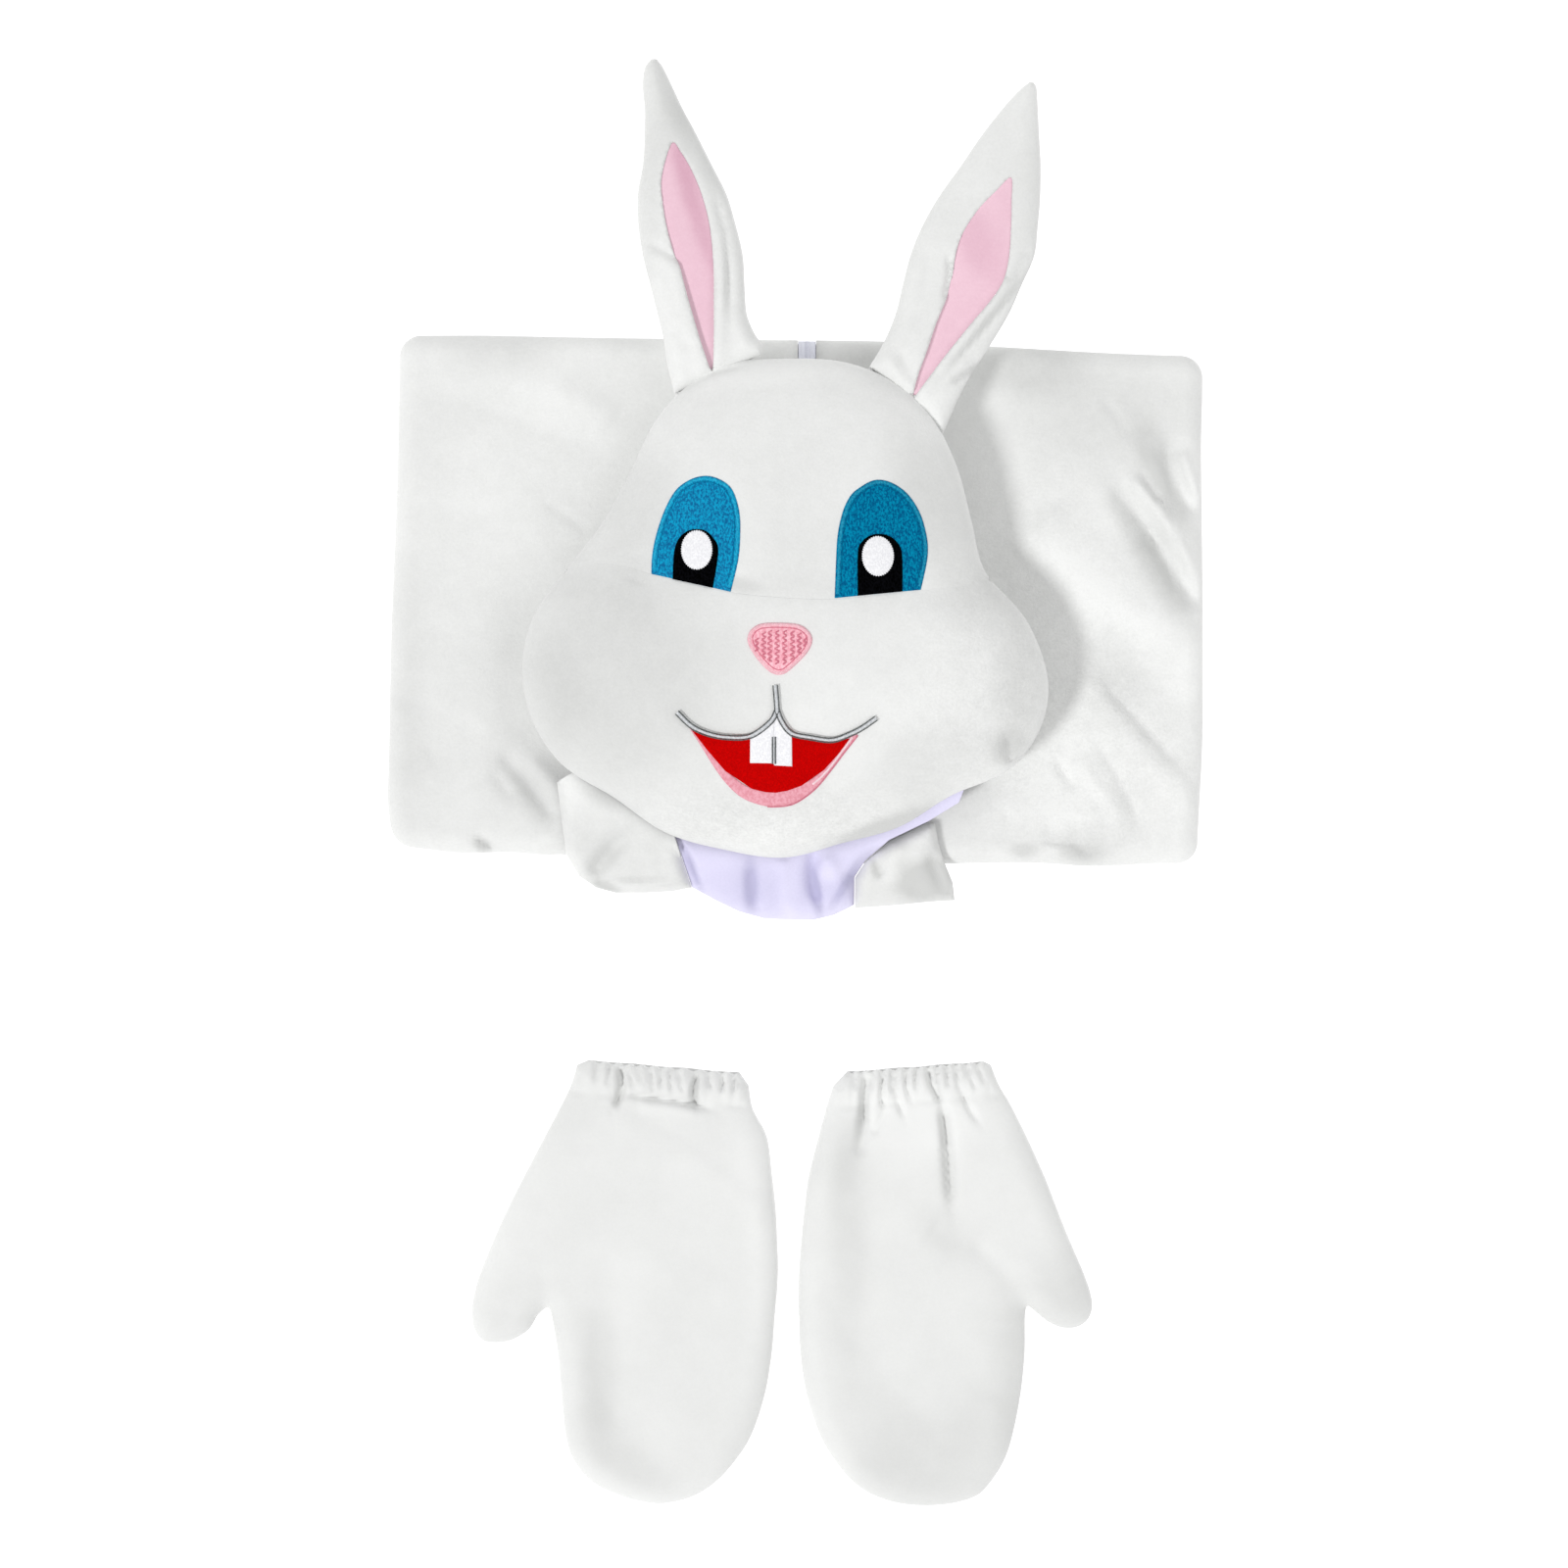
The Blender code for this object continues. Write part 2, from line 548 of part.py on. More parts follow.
def hood_back():
    """The back of the hood: a flat floor on the jumpsuit, rounded up to the seam except at the neck."""
    ratios = (0.30, 0.58, 0.72, 0.84, 0.92, 0.975, 1.0)
    count = 48
    upper, lower = [(HEAD_X, HEAD_Y, HEAD_FLOOR)], []
    for ratio in ratios:
        for i in range(count):
            angle = 360 * i / count
            radius = hood_radius(angle) * ratio
            u = max(0.0, (ratio - 0.58) / 0.42)
            rise = (seam_height(angle) - GAP / 2 - HEAD_FLOOR) * (1 - math.sqrt(max(0.0, 1 - u * u)))
            upper.append((HEAD_X + radius * math.cos(math.radians(angle)),
                          HEAD_Y + radius * math.sin(math.radians(angle)),
                          HEAD_FLOOR + rise * neck_open(angle)))
    for x, y, z in upper:
        inner = thin_in((x, y, z + GAP / 2))
        lower.append((inner[0], inner[1], inner[2] - GAP / 2))
    faces = [(0, 1 + i, 1 + (i + 1) % count) for i in range(count)]
    for r in range(len(ratios) - 1):
        for i in range(count):
            j = (i + 1) % count
            faces.append((1 + r * count + i, 1 + (r + 1) * count + i,
                          1 + (r + 1) * count + j, 1 + r * count + j))
    return wall("head_back", upper, lower, faces, PLUSH)


hood_back()


# Neck of the hood: lining in the middle, a plush flap on each side, hanging over the pack's edge

def neck_sag(x, y):
    return HEAD_FLOOR - 21 * max(0.0, (-37 - y) / 42)**1.35


def neck_piece(name, outline, thick, puff, look):
    clear = lambda x, y: 6.5
    low_x, low_y, high_x, high_y = bounds_of(outline)
    plan, faces = fill_plan(outline, mesh_of_points(low_x, low_y, high_x, high_y, 8), clear)
    lower = [(x, y, neck_sag(x, y)) for x, y in plan]
    upper = []
    for x, y, z in lower:
        away = min(edge_distance(x, y, outline) / 10, 1)
        upper.append((x, y, z + thick + puff * math.sqrt(1 - (1 - away)**2)))
    return wall(name, upper, lower, faces, look)


LINING_EDGE = table(
    "x y",
    (-62.0, -58.5), (-48.8, -66.6), (-34.5, -73.7), (-19.1, -78.0), (-4, -78.8), (11, -78.8),
    (22.5, -76.1), (30.5, -72.2), (35.2, -69.5), (35.2, -52.6), (41.6, -42.6), (55.6, -30.0),
    (79.2, -18.6), (97.0, -7.6))
lining = list(zip(LINING_EDGE["x"], LINING_EDGE["y"])) + list(reversed(hood_rim(242, 319, 18, 1.003)))
neck_piece("neck_lining", lining, 2.6, 0.4, LILAC)

FLAP_LEFT_EDGE = table(
    "x y",
    (-143.0, 4.5), (-141.5, -14), (-138.2, -38.5), (-130.5, -52), (-120.5, -59), (-108.7, -62.2),
    (-90.3, -62.2), (-74, -61.2), (-63.0, -58.9), (-67.5, -45))
flap_left = list(zip(FLAP_LEFT_EDGE["x"], FLAP_LEFT_EDGE["y"]))
flap_left += reversed(hood_rim(214.5, 241.6, 9, 1.003))
neck_piece("neck_flap_left", flap_left, 4.0, 3.0, PLUSH)

FLAP_RIGHT_EDGE = table(
    "x y",
    (79.6, -19.2), (56.1, -30.6), (42.2, -43.0), (35.7, -53.0), (35.8, -71.6), (50, -70.6),
    (64, -69.5), (80, -67.8), (96.0, -66.8), (94.5, -56), (89, -43), (85.5, -32), (83.6, -20.5))
flap_right = list(zip(FLAP_RIGHT_EDGE["x"], FLAP_RIGHT_EDGE["y"]))
neck_piece("neck_flap_right", flap_right, 4.0, 3.0, PLUSH)


# Ears: plush back and rolled margins, with a pink inner ear let in

def ear_stations(rows, steps):
    """Smooth sections down an ear between the table's rows."""
    stations = []
    keys = list(range(len(rows["left_x"])))
    for k in range((len(keys) - 1) * steps + 1):
        at = k / steps
        stations.append({name: read_between(keys, column, at) for name, column in rows.items()} | {"at": at})
    return stations


def ear_place(station, across, end):
    """Plan position and middle height across an ear, kept clear of the hood."""
    x = station["left_x"] + (station["right_x"] - station["left_x"]) * across
    y = station["left_y"] + (station["right_y"] - station["left_y"]) * across
    angle = math.degrees(math.atan2(y - HEAD_Y, x - HEAD_X))
    away = math.hypot(x - HEAD_X, y - HEAD_Y)
    least = hood_radius(angle) * 1.005
    if end or away < least:
        x = HEAD_X + (x - HEAD_X) * least / away
        y = HEAD_Y + (y - HEAD_Y) * least / away
        away = least
    droop = max(0.0, (away - least) / 190)**1.3
    return x, y, HEAD_MID - 6 * droop


def ear(name, rows, steps):
    stations = ear_stations(rows, steps)
    points, count = [], 0
    inner_points, inner_rows = [], 0
    for k, station in enumerate(stations):
        a, b = station["lip_left"], station["lip_right"]
        half = station["half_thick"]
        deep = station["recess"]
        end = k == len(stations) - 1
        width = math.hypot(station["right_x"] - station["left_x"], station["right_y"] - station["left_y"])
        slant = min(0.6 / width, (b - a) * 0.25)
        wide = 1 - (1 - b) * 0.45
        section = (
            (0.0, 0.0), (0.05, 0.65), (a * 0.45, 1.0), (a, 0.95), (a + slant, 0.95 - deep / half),
            ((a + b) / 2, 0.95 - deep / half), (b - slant, 0.95 - deep / half), (b, 0.95),
            (wide, 1.0), (0.95, 0.65), (1.0, 0.0), (0.95, -0.65), (wide, -1.0), (b, -1.0),
            ((a + b) / 2, -1.0), (a, -1.0), (a * 0.45, -1.0), (0.05, -0.65))
        for across, up in section:
            x, y, z = ear_place(station, across, end)
            points.append((x, y, z + up * half))
        count = len(section)
        if deep >= 3.4:
            gap = 1.1 / width
            for across, up in ((a + gap, GAP), ((a + b) / 2, GAP), (b - gap, GAP), (b - gap, 2.6 + GAP),
                               ((a + b) / 2, 2.9 + GAP), (a + gap, 2.6 + GAP)):
                x, y, z = ear_place(station, across, False)
                base = 0.95 * half - deep
                inner_points.append((x, y, z + base + up))
            inner_rows += 1
    ear_cap = ((0, 1, 17), (1, 2, 16, 17), (2, 3, 15, 16), (3, 4, 5, 14, 15), (5, 6, 7, 13, 14),
               (7, 8, 12, 13), (8, 9, 11, 12), (9, 10, 11))
    inner_cap = ((0, 1, 4, 5), (1, 2, 3, 4))
    for label, cloud, ring, total, look, cap in (
            (name, points, count, len(stations), PLUSH, ear_cap),
            ("inner_" + name, inner_points, 6, inner_rows, PINK, inner_cap)):
        faces = [face for face in cap]
        faces += [tuple((total - 1) * ring + v for v in reversed(face)) for face in cap]
        for r in range(total - 1):
            for c in range(ring):
                d = (c + 1) % ring
                faces.append((r * ring + c, (r + 1) * ring + c, (r + 1) * ring + d, r * ring + d))
        solid(label, cloud, faces, look)


ear("ear_left", EAR_LEFT, 1)
ear("ear_right", EAR_RIGHT, 1)


# Applique on the face: each piece is cut to its outline and lies on the face's own surface

def outline_of(rows):
    """Closed outline from a table of left and right points, with no edge over 11 mm."""
    corners = list(zip(rows["left_x"], rows["left_y"])) + \
        list(reversed(list(zip(rows["right_x"], rows["right_y"]))))
    out = []
    for i, (ax, ay) in enumerate(corners):
        bx, by = corners[(i + 1) % len(corners)]
        parts = max(1, math.ceil(math.hypot(bx - ax, by - ay) / 11.0))
        out += [(ax + (bx - ax) * k / parts, ay + (by - ay) * k / parts) for k in range(parts)]
    return out


def on_face(name, outline, base, thick, look):
    """base is the height of the piece's underside above the face."""
    low_x, low_y, high_x, high_y = bounds_of(outline)
    plan, faces = fill_plan(outline, mesh_of_points(low_x, low_y, high_x, high_y, 9), lambda x, y: 7.0)
    upper, lower = [], []
    for x, y in plan:
        z = hood_top(x, y)
        nx, ny, nz = hood_normal(x, y)
        lower.append((x + nx * base, y + ny * base, z + nz * base))
        rise = base + thick
        upper.append((x + nx * rise, y + ny * rise, z + nz * rise))
    return wall(name, upper, lower, faces, look)


def oval(x, y, half_x, half_y, count):
    return [(x + half_x * math.cos(math.tau * i / count), y + half_y * math.sin(math.tau * i / count))
            for i in range(count)]


on_face("eye_left", outline_of(EYE_LEFT), 0.8, 0.9, BLUE)
on_face("eye_right", outline_of(EYE_RIGHT), 0.8, 0.9, BLUE)
on_face("pupil_left", outline_of(PUPIL_LEFT), 2.2, 0.9, BLACK)
on_face("pupil_right", outline_of(PUPIL_RIGHT), 2.2, 0.9, BLACK)
on_face("glint_left", oval(-57.0, 139.6, 9.8, 11.0, 16), 3.6, 0.9, WHITE)
on_face("glint_right", oval(47.7, 136.2, 9.8, 11.4, 16), 3.6, 0.9, WHITE)
on_face("nose", outline_of(NOSE), 0.6, 2.4, ROSE)
on_face("mouth", outline_of(MOUTH), 0.6, 0.9, RED)
on_face("lip", outline_of(LIP), 0.6, 0.9, ROSE)
on_face("tooth_left", outline_of(TOOTH_LEFT), 2.0, 0.9, WHITE)
on_face("tooth_right", outline_of(TOOTH_RIGHT), 2.0, 0.9, WHITE)


# Mittens: a palm on the table and a padded back on it, gathered at the wrist

def mitten_outline(arm, thumb, hand, thumb_left):
    """Wrist edge, then round the thumb, its crotch and the hand."""
    near = "left" if thumb_left else "right"
    far = "right" if thumb_left else "left"
    down = list(zip(arm[near], arm["y"])) + list(zip(thumb[near], thumb["y"]))
    back_up = list(reversed(list(zip(thumb[far], thumb["y"]))))
    crotch = [((thumb[far][0] + hand[near][0]) / 2, thumb["y"][0] - 6.0)]
    along = list(zip(hand[near], hand["y"])) + list(reversed(list(zip(hand[far], hand["y"]))))
    up = list(reversed(list(zip(arm[far], arm["y"]))[1:]))
    return down + back_up[:-1] + crotch + along + up


def mitten(name, arm, thumb, hand, thumb_left, wrist, gathers, casing):
    """wrist is the two ends of the gathered edge, casing the depth of the elastic's stitch line."""
    loop = mitten_outline(arm, thumb, hand, thumb_left)
    smooth = []
    for i in range(len(loop) - 1):
        a, b, c, d = loop[max(i - 1, 0)], loop[i], loop[i + 1], loop[min(i + 2, len(loop) - 1)]
        for t in (0.0, 0.5):
            smooth.append(tuple(0.5 * (2 * b[j] + (c[j] - a[j]) * t
                                       + (2 * a[j] - 5 * b[j] + 4 * c[j] - d[j]) * t * t
                                       + (3 * b[j] - a[j] - 3 * c[j] + d[j]) * t**3) for j in (0, 1)))
    smooth.append(loop[-1])
    (ax, ay), (bx, by) = wrist
    edge = []
    for i in range(2 * gathers + 1):
        t = i / (2 * gathers)
        edge.append((bx + (ax - bx) * t, by + (ay - by) * t + (0.7 if i % 2 else -0.7)))
    outline = smooth + edge

    def wrist_place(x, y):
        """How far across the wrist, 0 to 1, and how far below its edge."""
        across = (x - bx) / (ax - bx)
        line = by + (ay - by) * across
        return across, line - y

    rows = []
    for depth in (7.0, casing - 4, casing, casing + 5, casing + 16, casing + 32):
        for i in range(2 * gathers + 1):
            t = i / (2 * gathers)
            spread = 1 + 0.0042 * depth
            x = bx + (ax - bx) * (0.5 + (t - 0.5) * spread)
            rows.append((x, by + (ay - by) * t - depth))
    low_x, low_y, high_x, high_y = bounds_of(outline)
    insets = []
    for k, (x, y) in enumerate(smooth[::2]):
        px, py = smooth[(2 * k - 1) % len(smooth)]
        qx, qy = smooth[(2 * k + 1) % len(smooth)]
        length = math.hypot(qx - px, qy - py)
        for depth in (2.0, 7.5, 16):
            for turn in (1, -1):
                insets.append((x + turn * (qy - py) / length * depth, y - turn * (qx - px) / length * depth))
    field = mesh_of_points(low_x, low_y, high_x, wrist[0][1] - casing - 40, 18)

    def clear_back(x, y):
        away = edge_distance(x, y, outline)
        near_wrist = wrist_place(x, y)[1] < casing + 30
        return min(1.3 + away * 0.5, 3.0 if near_wrist else 13.0)

    plan, faces = fill_plan(outline, rows + insets + field, clear_back)
    upper, lower = [], []
    for x, y in plan:
        away = edge_distance(x, y, outline)
        across, depth = wrist_place(x, y)
        puff = 1.5 + BACK_PUFF * math.sqrt(1 - (1 - min(away / 26, 1))**2)
        lower_here = PALM_THICK + GAP
        wave = math.cos(math.tau * gathers * across) * math.exp(-(depth / 26)**2) * 2.0
        stitch = 3.4 * math.exp(-((depth - casing) / 3.2)**2)
        hem = 4.0 * math.exp(-((depth - casing * 0.45) / (casing * 0.42))**2)
        side = ease(0, 7, away)
        flat = ease(0, 60, depth)
        puff = 1.5 + (puff - 1.5) * (0.45 + 0.55 * flat)
        upper.append((x, y, lower_here + max(puff + (hem - stitch) * side + wave * side, 1.2)))
        lower.append((x, y, lower_here))
    wall(name + "_back", upper, lower, faces, PLUSH)

    plain = loop + [edge[0], edge[len(edge) // 2], edge[-1]]
    plan, faces = fill_plan(plain, insets + mesh_of_points(low_x, low_y, high_x, high_y, 26),
                            lambda x, y: min(2.0 + edge_distance(x, y, plain) * 0.6, 16.0))
    upper = [(x, y, PALM_THICK) for x, y in plan]
    lower = []
    for x, y in plan:
        away = edge_distance(x, y, plain)
        lower.append((x, y, 4.2 * (1 - min(away / 6.5, 1))**2))
    wall(name + "_palm", upper, lower, faces, PLUSH)


mitten("mitten_left", MITTEN_LEFT, MITTEN_LEFT_THUMB, MITTEN_LEFT_HAND, True,
       ((-126.0, -165.6), (-34.5, -173.2)), 11, 19.0)
mitten("mitten_right", MITTEN_RIGHT, MITTEN_RIGHT_THUMB, MITTEN_RIGHT_HAND, False,
       ((114.5, -166.4), (31.5, -172.6)), 13, 20.0)
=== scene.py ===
"""Bunny costume laid out flat: the folded plush jumpsuit, the padded hood on it and two mittens.

Lengths are in millimetres until a mesh is made. +Y points to the ears and +Z off the table.
"""
import math

import bmesh
import bpy
import numpy as np
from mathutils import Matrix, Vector
from mathutils.geometry import delaunay_2d_cdt


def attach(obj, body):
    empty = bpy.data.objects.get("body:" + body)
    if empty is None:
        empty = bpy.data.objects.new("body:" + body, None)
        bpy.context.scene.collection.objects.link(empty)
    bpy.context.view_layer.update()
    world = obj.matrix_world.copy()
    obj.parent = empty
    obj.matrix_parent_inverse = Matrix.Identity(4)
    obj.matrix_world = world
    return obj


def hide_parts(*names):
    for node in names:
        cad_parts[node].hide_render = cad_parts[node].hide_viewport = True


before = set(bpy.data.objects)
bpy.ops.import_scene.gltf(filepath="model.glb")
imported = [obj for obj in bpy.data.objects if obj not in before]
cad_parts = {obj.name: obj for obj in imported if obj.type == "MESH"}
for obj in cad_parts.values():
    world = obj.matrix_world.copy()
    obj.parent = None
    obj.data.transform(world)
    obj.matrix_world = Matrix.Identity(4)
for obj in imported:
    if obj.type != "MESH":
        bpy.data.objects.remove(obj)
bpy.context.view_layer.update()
MM = 0.001

# Studio: a white table, one large soft lamp from the left at half height, a sky that fills the
# shadows, and a camera that looks straight down, as the photograph does.
CAMERA_HEIGHT = 2400.0
CAMERA_X, CAMERA_Y = -7.2, 3.5
FRAME_WIDTH = 960.0
SENSOR = 36.0
KEY_FROM = Vector((-0.64, -0.46, 1.0))
FILL_PLACE = Vector((1.3, 0.3, 1.9))
TABLE_HALF, TABLE_LEVEL = 6.0, -0.0004


def shown(name, data):
    """An object of the scene."""
    made = bpy.data.objects.new(name, data)
    bpy.context.scene.collection.objects.link(made)
    return made


camera = shown("camera", bpy.data.cameras.new("camera"))
camera.location = (CAMERA_X * MM, CAMERA_Y * MM, CAMERA_HEIGHT * MM)
camera.data.sensor_width = SENSOR
camera.data.lens = SENSOR * CAMERA_HEIGHT / FRAME_WIDTH
camera.data.clip_end = 50.0
bpy.context.scene.camera = camera

key = shown("key", bpy.data.lights.new("key", "SUN"))
key.data.energy = 1.45
key.data.angle = math.radians(11.0)
key.rotation_euler = KEY_FROM.to_track_quat("Z", "Y").to_euler()

fill = shown("fill", bpy.data.lights.new("fill", "AREA"))
fill.data.shape = "DISK"
fill.data.size = 1.6
fill.data.energy = 9.0
fill.location = FILL_PLACE
fill.rotation_euler = FILL_PLACE.to_track_quat("Z", "Y").to_euler()

sky = bpy.data.worlds.new("sky")
sky.use_nodes = True
for label, value in (("Color", (1, 1, 1, 1)), ("Strength", 0.60)):
    sky.node_tree.nodes["Background"].inputs[label].default_value = value
bpy.context.scene.world = sky
bpy.context.scene.view_settings.view_transform = "Standard"

table_mesh = bpy.data.meshes.new("table")
table_mesh.from_pydata([(x * TABLE_HALF, y * TABLE_HALF, TABLE_LEVEL)
                        for x, y in ((-1, -1), (1, -1), (1, 1), (-1, 1))], [], [(0, 1, 2, 3)])
table_top = shown("table", table_mesh)
table_look = bpy.data.materials.new("white_table")
table_look.use_nodes = True
table_shader = table_look.node_tree.nodes["Principled BSDF"]
for label, value in (("Base Color", (0.4, 0.4, 0.4, 1)), ("Roughness", 0.9),
                     ("Emission Color", (1, 1, 1, 1)), ("Emission Strength", 0.95)):
    table_shader.inputs[label].default_value = value
table_mesh.materials.append(table_look)


# Plush: a white knit with a short brushed pile. The pile shows as fine mottled nap with a soft bloom
# where it is seen edge on; every plush panel is cut from it. Shade and light are also painted into
# its colour in soft spots.
class Socket:
    """A node's output that takes part in sums."""

    def __init__(self, tree, link):
        self.tree = tree
        self.link = link

    def node(self, kind, output=0, settings=None, **values):
        """An output of a new node, once its settings and its sockets' values or links are set."""
        made = self.tree.nodes.new(kind)
        for key, value in (settings or {}).items():
            setattr(made, key, value)
        for key, value in values.items():
            plug = made.inputs[int(key[1:])] if key[0] == "_" else made.inputs[key.replace("_", " ")]
            if isinstance(value, Socket):
                self.tree.links.new(value.link, plug)
            else:
                plug.default_value = value
        return Socket(self.tree, made.outputs[output] if made.outputs else None)

    def maths(self, operation, *values):
        plugs = {f"_{i}": value for i, value in enumerate(values)}
        return self.node("ShaderNodeMath", 0, {"operation": operation}, **plugs)

    def __add__(self, other):
        return self.maths("ADD", self, other)

    def __sub__(self, other):
        return self.maths("SUBTRACT", self, other)

    def __rsub__(self, other):
        return self.maths("SUBTRACT", other, self)

    def __mul__(self, other):
        return self.maths("MULTIPLY", self, other)

    def between(self, low, high):
        """0 below low, 1 above high, smooth between."""
        return self.node("ShaderNodeMapRange", "Result", {"interpolation_type": "SMOOTHSTEP"},
                         Value=self, From_Min=low, From_Max=high)

    def noise(self, size_mm, detail=2.0, roughness=0.5):
        """Noise whose lumps are about size_mm across; self is the coordinate."""
        return self.node("ShaderNodeTexNoise", "Fac", Vector=self, Scale=1000.0 / size_mm, Detail=detail,
                         Roughness=roughness)

    def given(self, attribute):
        return self.node("ShaderNodeAttribute", "Fac", {"attribute_name": attribute})

    def tint(self, low, high):
        """A colour that runs from low to high as self runs from 0 to 1."""
        return self.node("ShaderNodeMix", 2, {"data_type": "RGBA"}, _0=self, _6=(*low, 1), _7=(*high, 1))


def finish(name, make, roughness=0.95, sheen=0.0, bump_mm=0.35, specular=0.2):
    """A material; make(coordinate) gives its colour and the height of its relief."""
    look = bpy.data.materials.new(name)
    look.use_nodes = True
    tree = look.node_tree
    shader = tree.nodes["Principled BSDF"]
    coordinate = Socket(tree, tree.nodes.new("ShaderNodeTexCoord").outputs["Object"])
    colour, height = make(coordinate)
    bump = coordinate.node("ShaderNodeBump", "Normal", Height=height, Distance=bump_mm * MM, Strength=1.0)
    tree.links.new(colour.link, shader.inputs["Base Color"])
    tree.links.new(bump.link, shader.inputs["Normal"])
    for label, value in (("Roughness", roughness), ("Sheen Weight", sheen), ("Sheen Roughness", 0.5),
                         ("Specular IOR Level", specular)):
        shader.inputs[label].default_value = value
    return look


def plush(name, plain, painted_shading):
    """Pile with a mottled nap; the painted_shading attribute darkens its colour towards the second colour as
    painted shade, and lightens it as painted light where it is below zero.
    """
    def make(place):
        nap = place.noise(1.7, 3.0, 0.6)
        clumps = place.noise(7.0, 2.0, 0.6)
        drift = place.noise(60.0, 2.0)
        stands = place.given("fluff") + 1.0
        shade = ((nap - 0.5) * 0.33 + (clumps - 0.5) * 0.21) * stands + (drift - 0.5) * 0.5 + 0.25
        return (shade + place.given("painted_shading")).tint(plain, painted_shading), (nap * 0.6 + clumps * 0.4) * stands
    return finish(name, make, sheen=0.3)


# The second colour is the tone of the painted shade.
PLUSH = plush("white_plush", (0.85, 0.855, 0.845), (0.60, 0.605, 0.595))


def paint_shading_and_fluff(made, shaded_spots, fluffed=(), sleek=0.0):
    """Paints shade into the colour in soft spots, or painted light where a strength is below zero; fluffed
    spots raise the pile's mottle and relief, and sleek flattens it everywhere.

    A spot is its middle x and y, two reaches, turn in degrees and strength.
    """
    places = np.empty(3 * len(made.data.vertices), np.float32)
    made.data.vertices.foreach_get("co", places)
    x, y = places.reshape(-1, 3)[:, :2].T / MM
    for label, spots, level in (("painted_shading", shaded_spots, 0.0), ("fluff", fluffed, -sleek)):
        amount = np.full(len(x), level)
        for at_x, at_y, reach, across, degrees, strength in spots:
            turn = math.radians(degrees)
            along = (x - at_x) * math.cos(turn) + (y - at_y) * math.sin(turn)
            aside = (y - at_y) * math.cos(turn) - (x - at_x) * math.sin(turn)
            amount += strength * np.exp(-((along / reach)**2 + (aside / across)**2)**1.5)
        layer = made.data.attributes.new(label, "FLOAT", "POINT")
        layer.data.foreach_set("value", amount.astype(np.float32))


# Jumpsuit fronts: two plush panels that meet at the zip. They lie over the folded pack with the
# soft folds of cloth that was packed, and roll down round its edges.
PACK_TOP = 40.0
CLOTH = 2.5
GAP = 0.3
EDGE_ROLL = 12.0
CORNER = 13.0
FLAT_INSET = 14.0
TUCK_TURN = 104.0
ZIP_LEFT, ZIP_RIGHT = 1.4, 12.0


def table(columns, numbers):
    """Rows of so many columns, from their numbers in reading order."""
    return np.array(numbers.split(), float).reshape(-1, columns)


def smooth(keys, values, at):
    """Smooth curve through a table's column, flat past its ends."""
    at = np.clip(np.asarray(at, float), keys[0], keys[-1])
    i = np.clip(np.searchsorted(keys, at, side="right") - 1, 0, len(keys) - 2)
    low, high = np.maximum(i - 1, 0), np.minimum(i + 2, len(keys) - 1)
    span = keys[i + 1] - keys[i]
    t = (at - keys[i]) / span
    slope_a = (values[i + 1] - values[low]) / (keys[i + 1] - keys[low]) * span
    slope_b = (values[high] - values[i]) / (keys[high] - keys[i]) * span
    return ((2 * t**3 - 3 * t**2 + 1) * values[i] + (t**3 - 2 * t**2 + t) * slope_a
            + (3 * t**2 - 2 * t**3) * values[i + 1] + (t**3 - t**2) * slope_b)


def ease(low, high, value):
    t = np.clip((np.asarray(value, float) - low) / (high - low), 0.0, 1.0)
    return t * t * (3 - 2 * t)


def lumps(x, y, size, seed):
    """Gentle unevenness between -1 and 1 with lumps about size across."""
    chance = np.random.default_rng(seed)
    total = np.zeros_like(np.asarray(x, float))
    for _ in range(7):
        turn, phase = chance.uniform(0, math.tau), chance.uniform(0, math.tau)
        stretch = chance.uniform(0.6, 1.5)
        total += np.sin((x * math.cos(turn) + y * math.sin(turn)) * math.tau / size * stretch + phase)
    return total / 4.0


def along_creases(x, y, creases):
    """Height at points in plan of soft ridges and troughs.

    A crease is the x and y of three places that it runs through, its height and its half width.
    """
    total = np.zeros_like(x)
    for ax, ay, bx, by, cx, cy, height, half in creases:
        t = np.linspace(0, 1, 11)
        w = ((1 - t) * (1 - 2 * t), 4 * t * (1 - t), t * (2 * t - 1))
        px, py = w[0] * ax + w[1] * bx + w[2] * cx, w[0] * ay + w[1] * by + w[2] * cy
        reach = half * 3.2
        near = np.nonzero((x > px.min() - reach) & (x < px.max() + reach)
                          & (y > py.min() - reach) & (y < py.max() + reach))
        best, along = np.full(len(near[0]), 1e9), np.zeros(len(near[0]))
        for k in range(10):
            dx, dy = px[k + 1] - px[k], py[k + 1] - py[k]
            u = np.clip(((x[near] - px[k]) * dx + (y[near] - py[k]) * dy) / (dx * dx + dy * dy), 0, 1)
            away = np.hypot(px[k] + u * dx - x[near], py[k] + u * dy - y[near])
            closer = away < best
            best, along = np.where(closer, away, best), np.where(closer, (k + u) / 10, along)
        ends = np.maximum(ease(0, 0.2, along) * ease(0, 0.2, 1 - along), 0.15)
        total[near] += height * ends * np.exp(-(best / half)**(2 if height > 0 else 1.5))
    return total


HOOD_X, HOOD_Y = -7.2, 96.5
# The hood's outline: angle and radius from its middle.
HOOD = table(2, """
0 146  15 124  30 128  45 142  60 157  75 161  90 159  105 159  120 146  135 129  150 124  165 133
180 151  195 159  210 156  225 143  240 141  255 137  270 137  285 133  300 137  315 141  330 160
345 162""")


def hood_radius(degrees):
    turns, radii = np.concatenate([HOOD[-3:] - (360, 0), HOOD, HOOD[:3] + (360, 0)]).T
    return smooth(turns, radii, np.asarray(degrees, float) % 360)


def from_hood(x, y):
    """Distance from the hood's middle, and the angle in degrees."""
    return np.hypot(x - HOOD_X, y - HOOD_Y), np.degrees(np.arctan2(y - HOOD_Y, x - HOOD_X))


def hood_ratio(x, y):
    away, turn = from_hood(x, y)
    return away / hood_radius(turn)


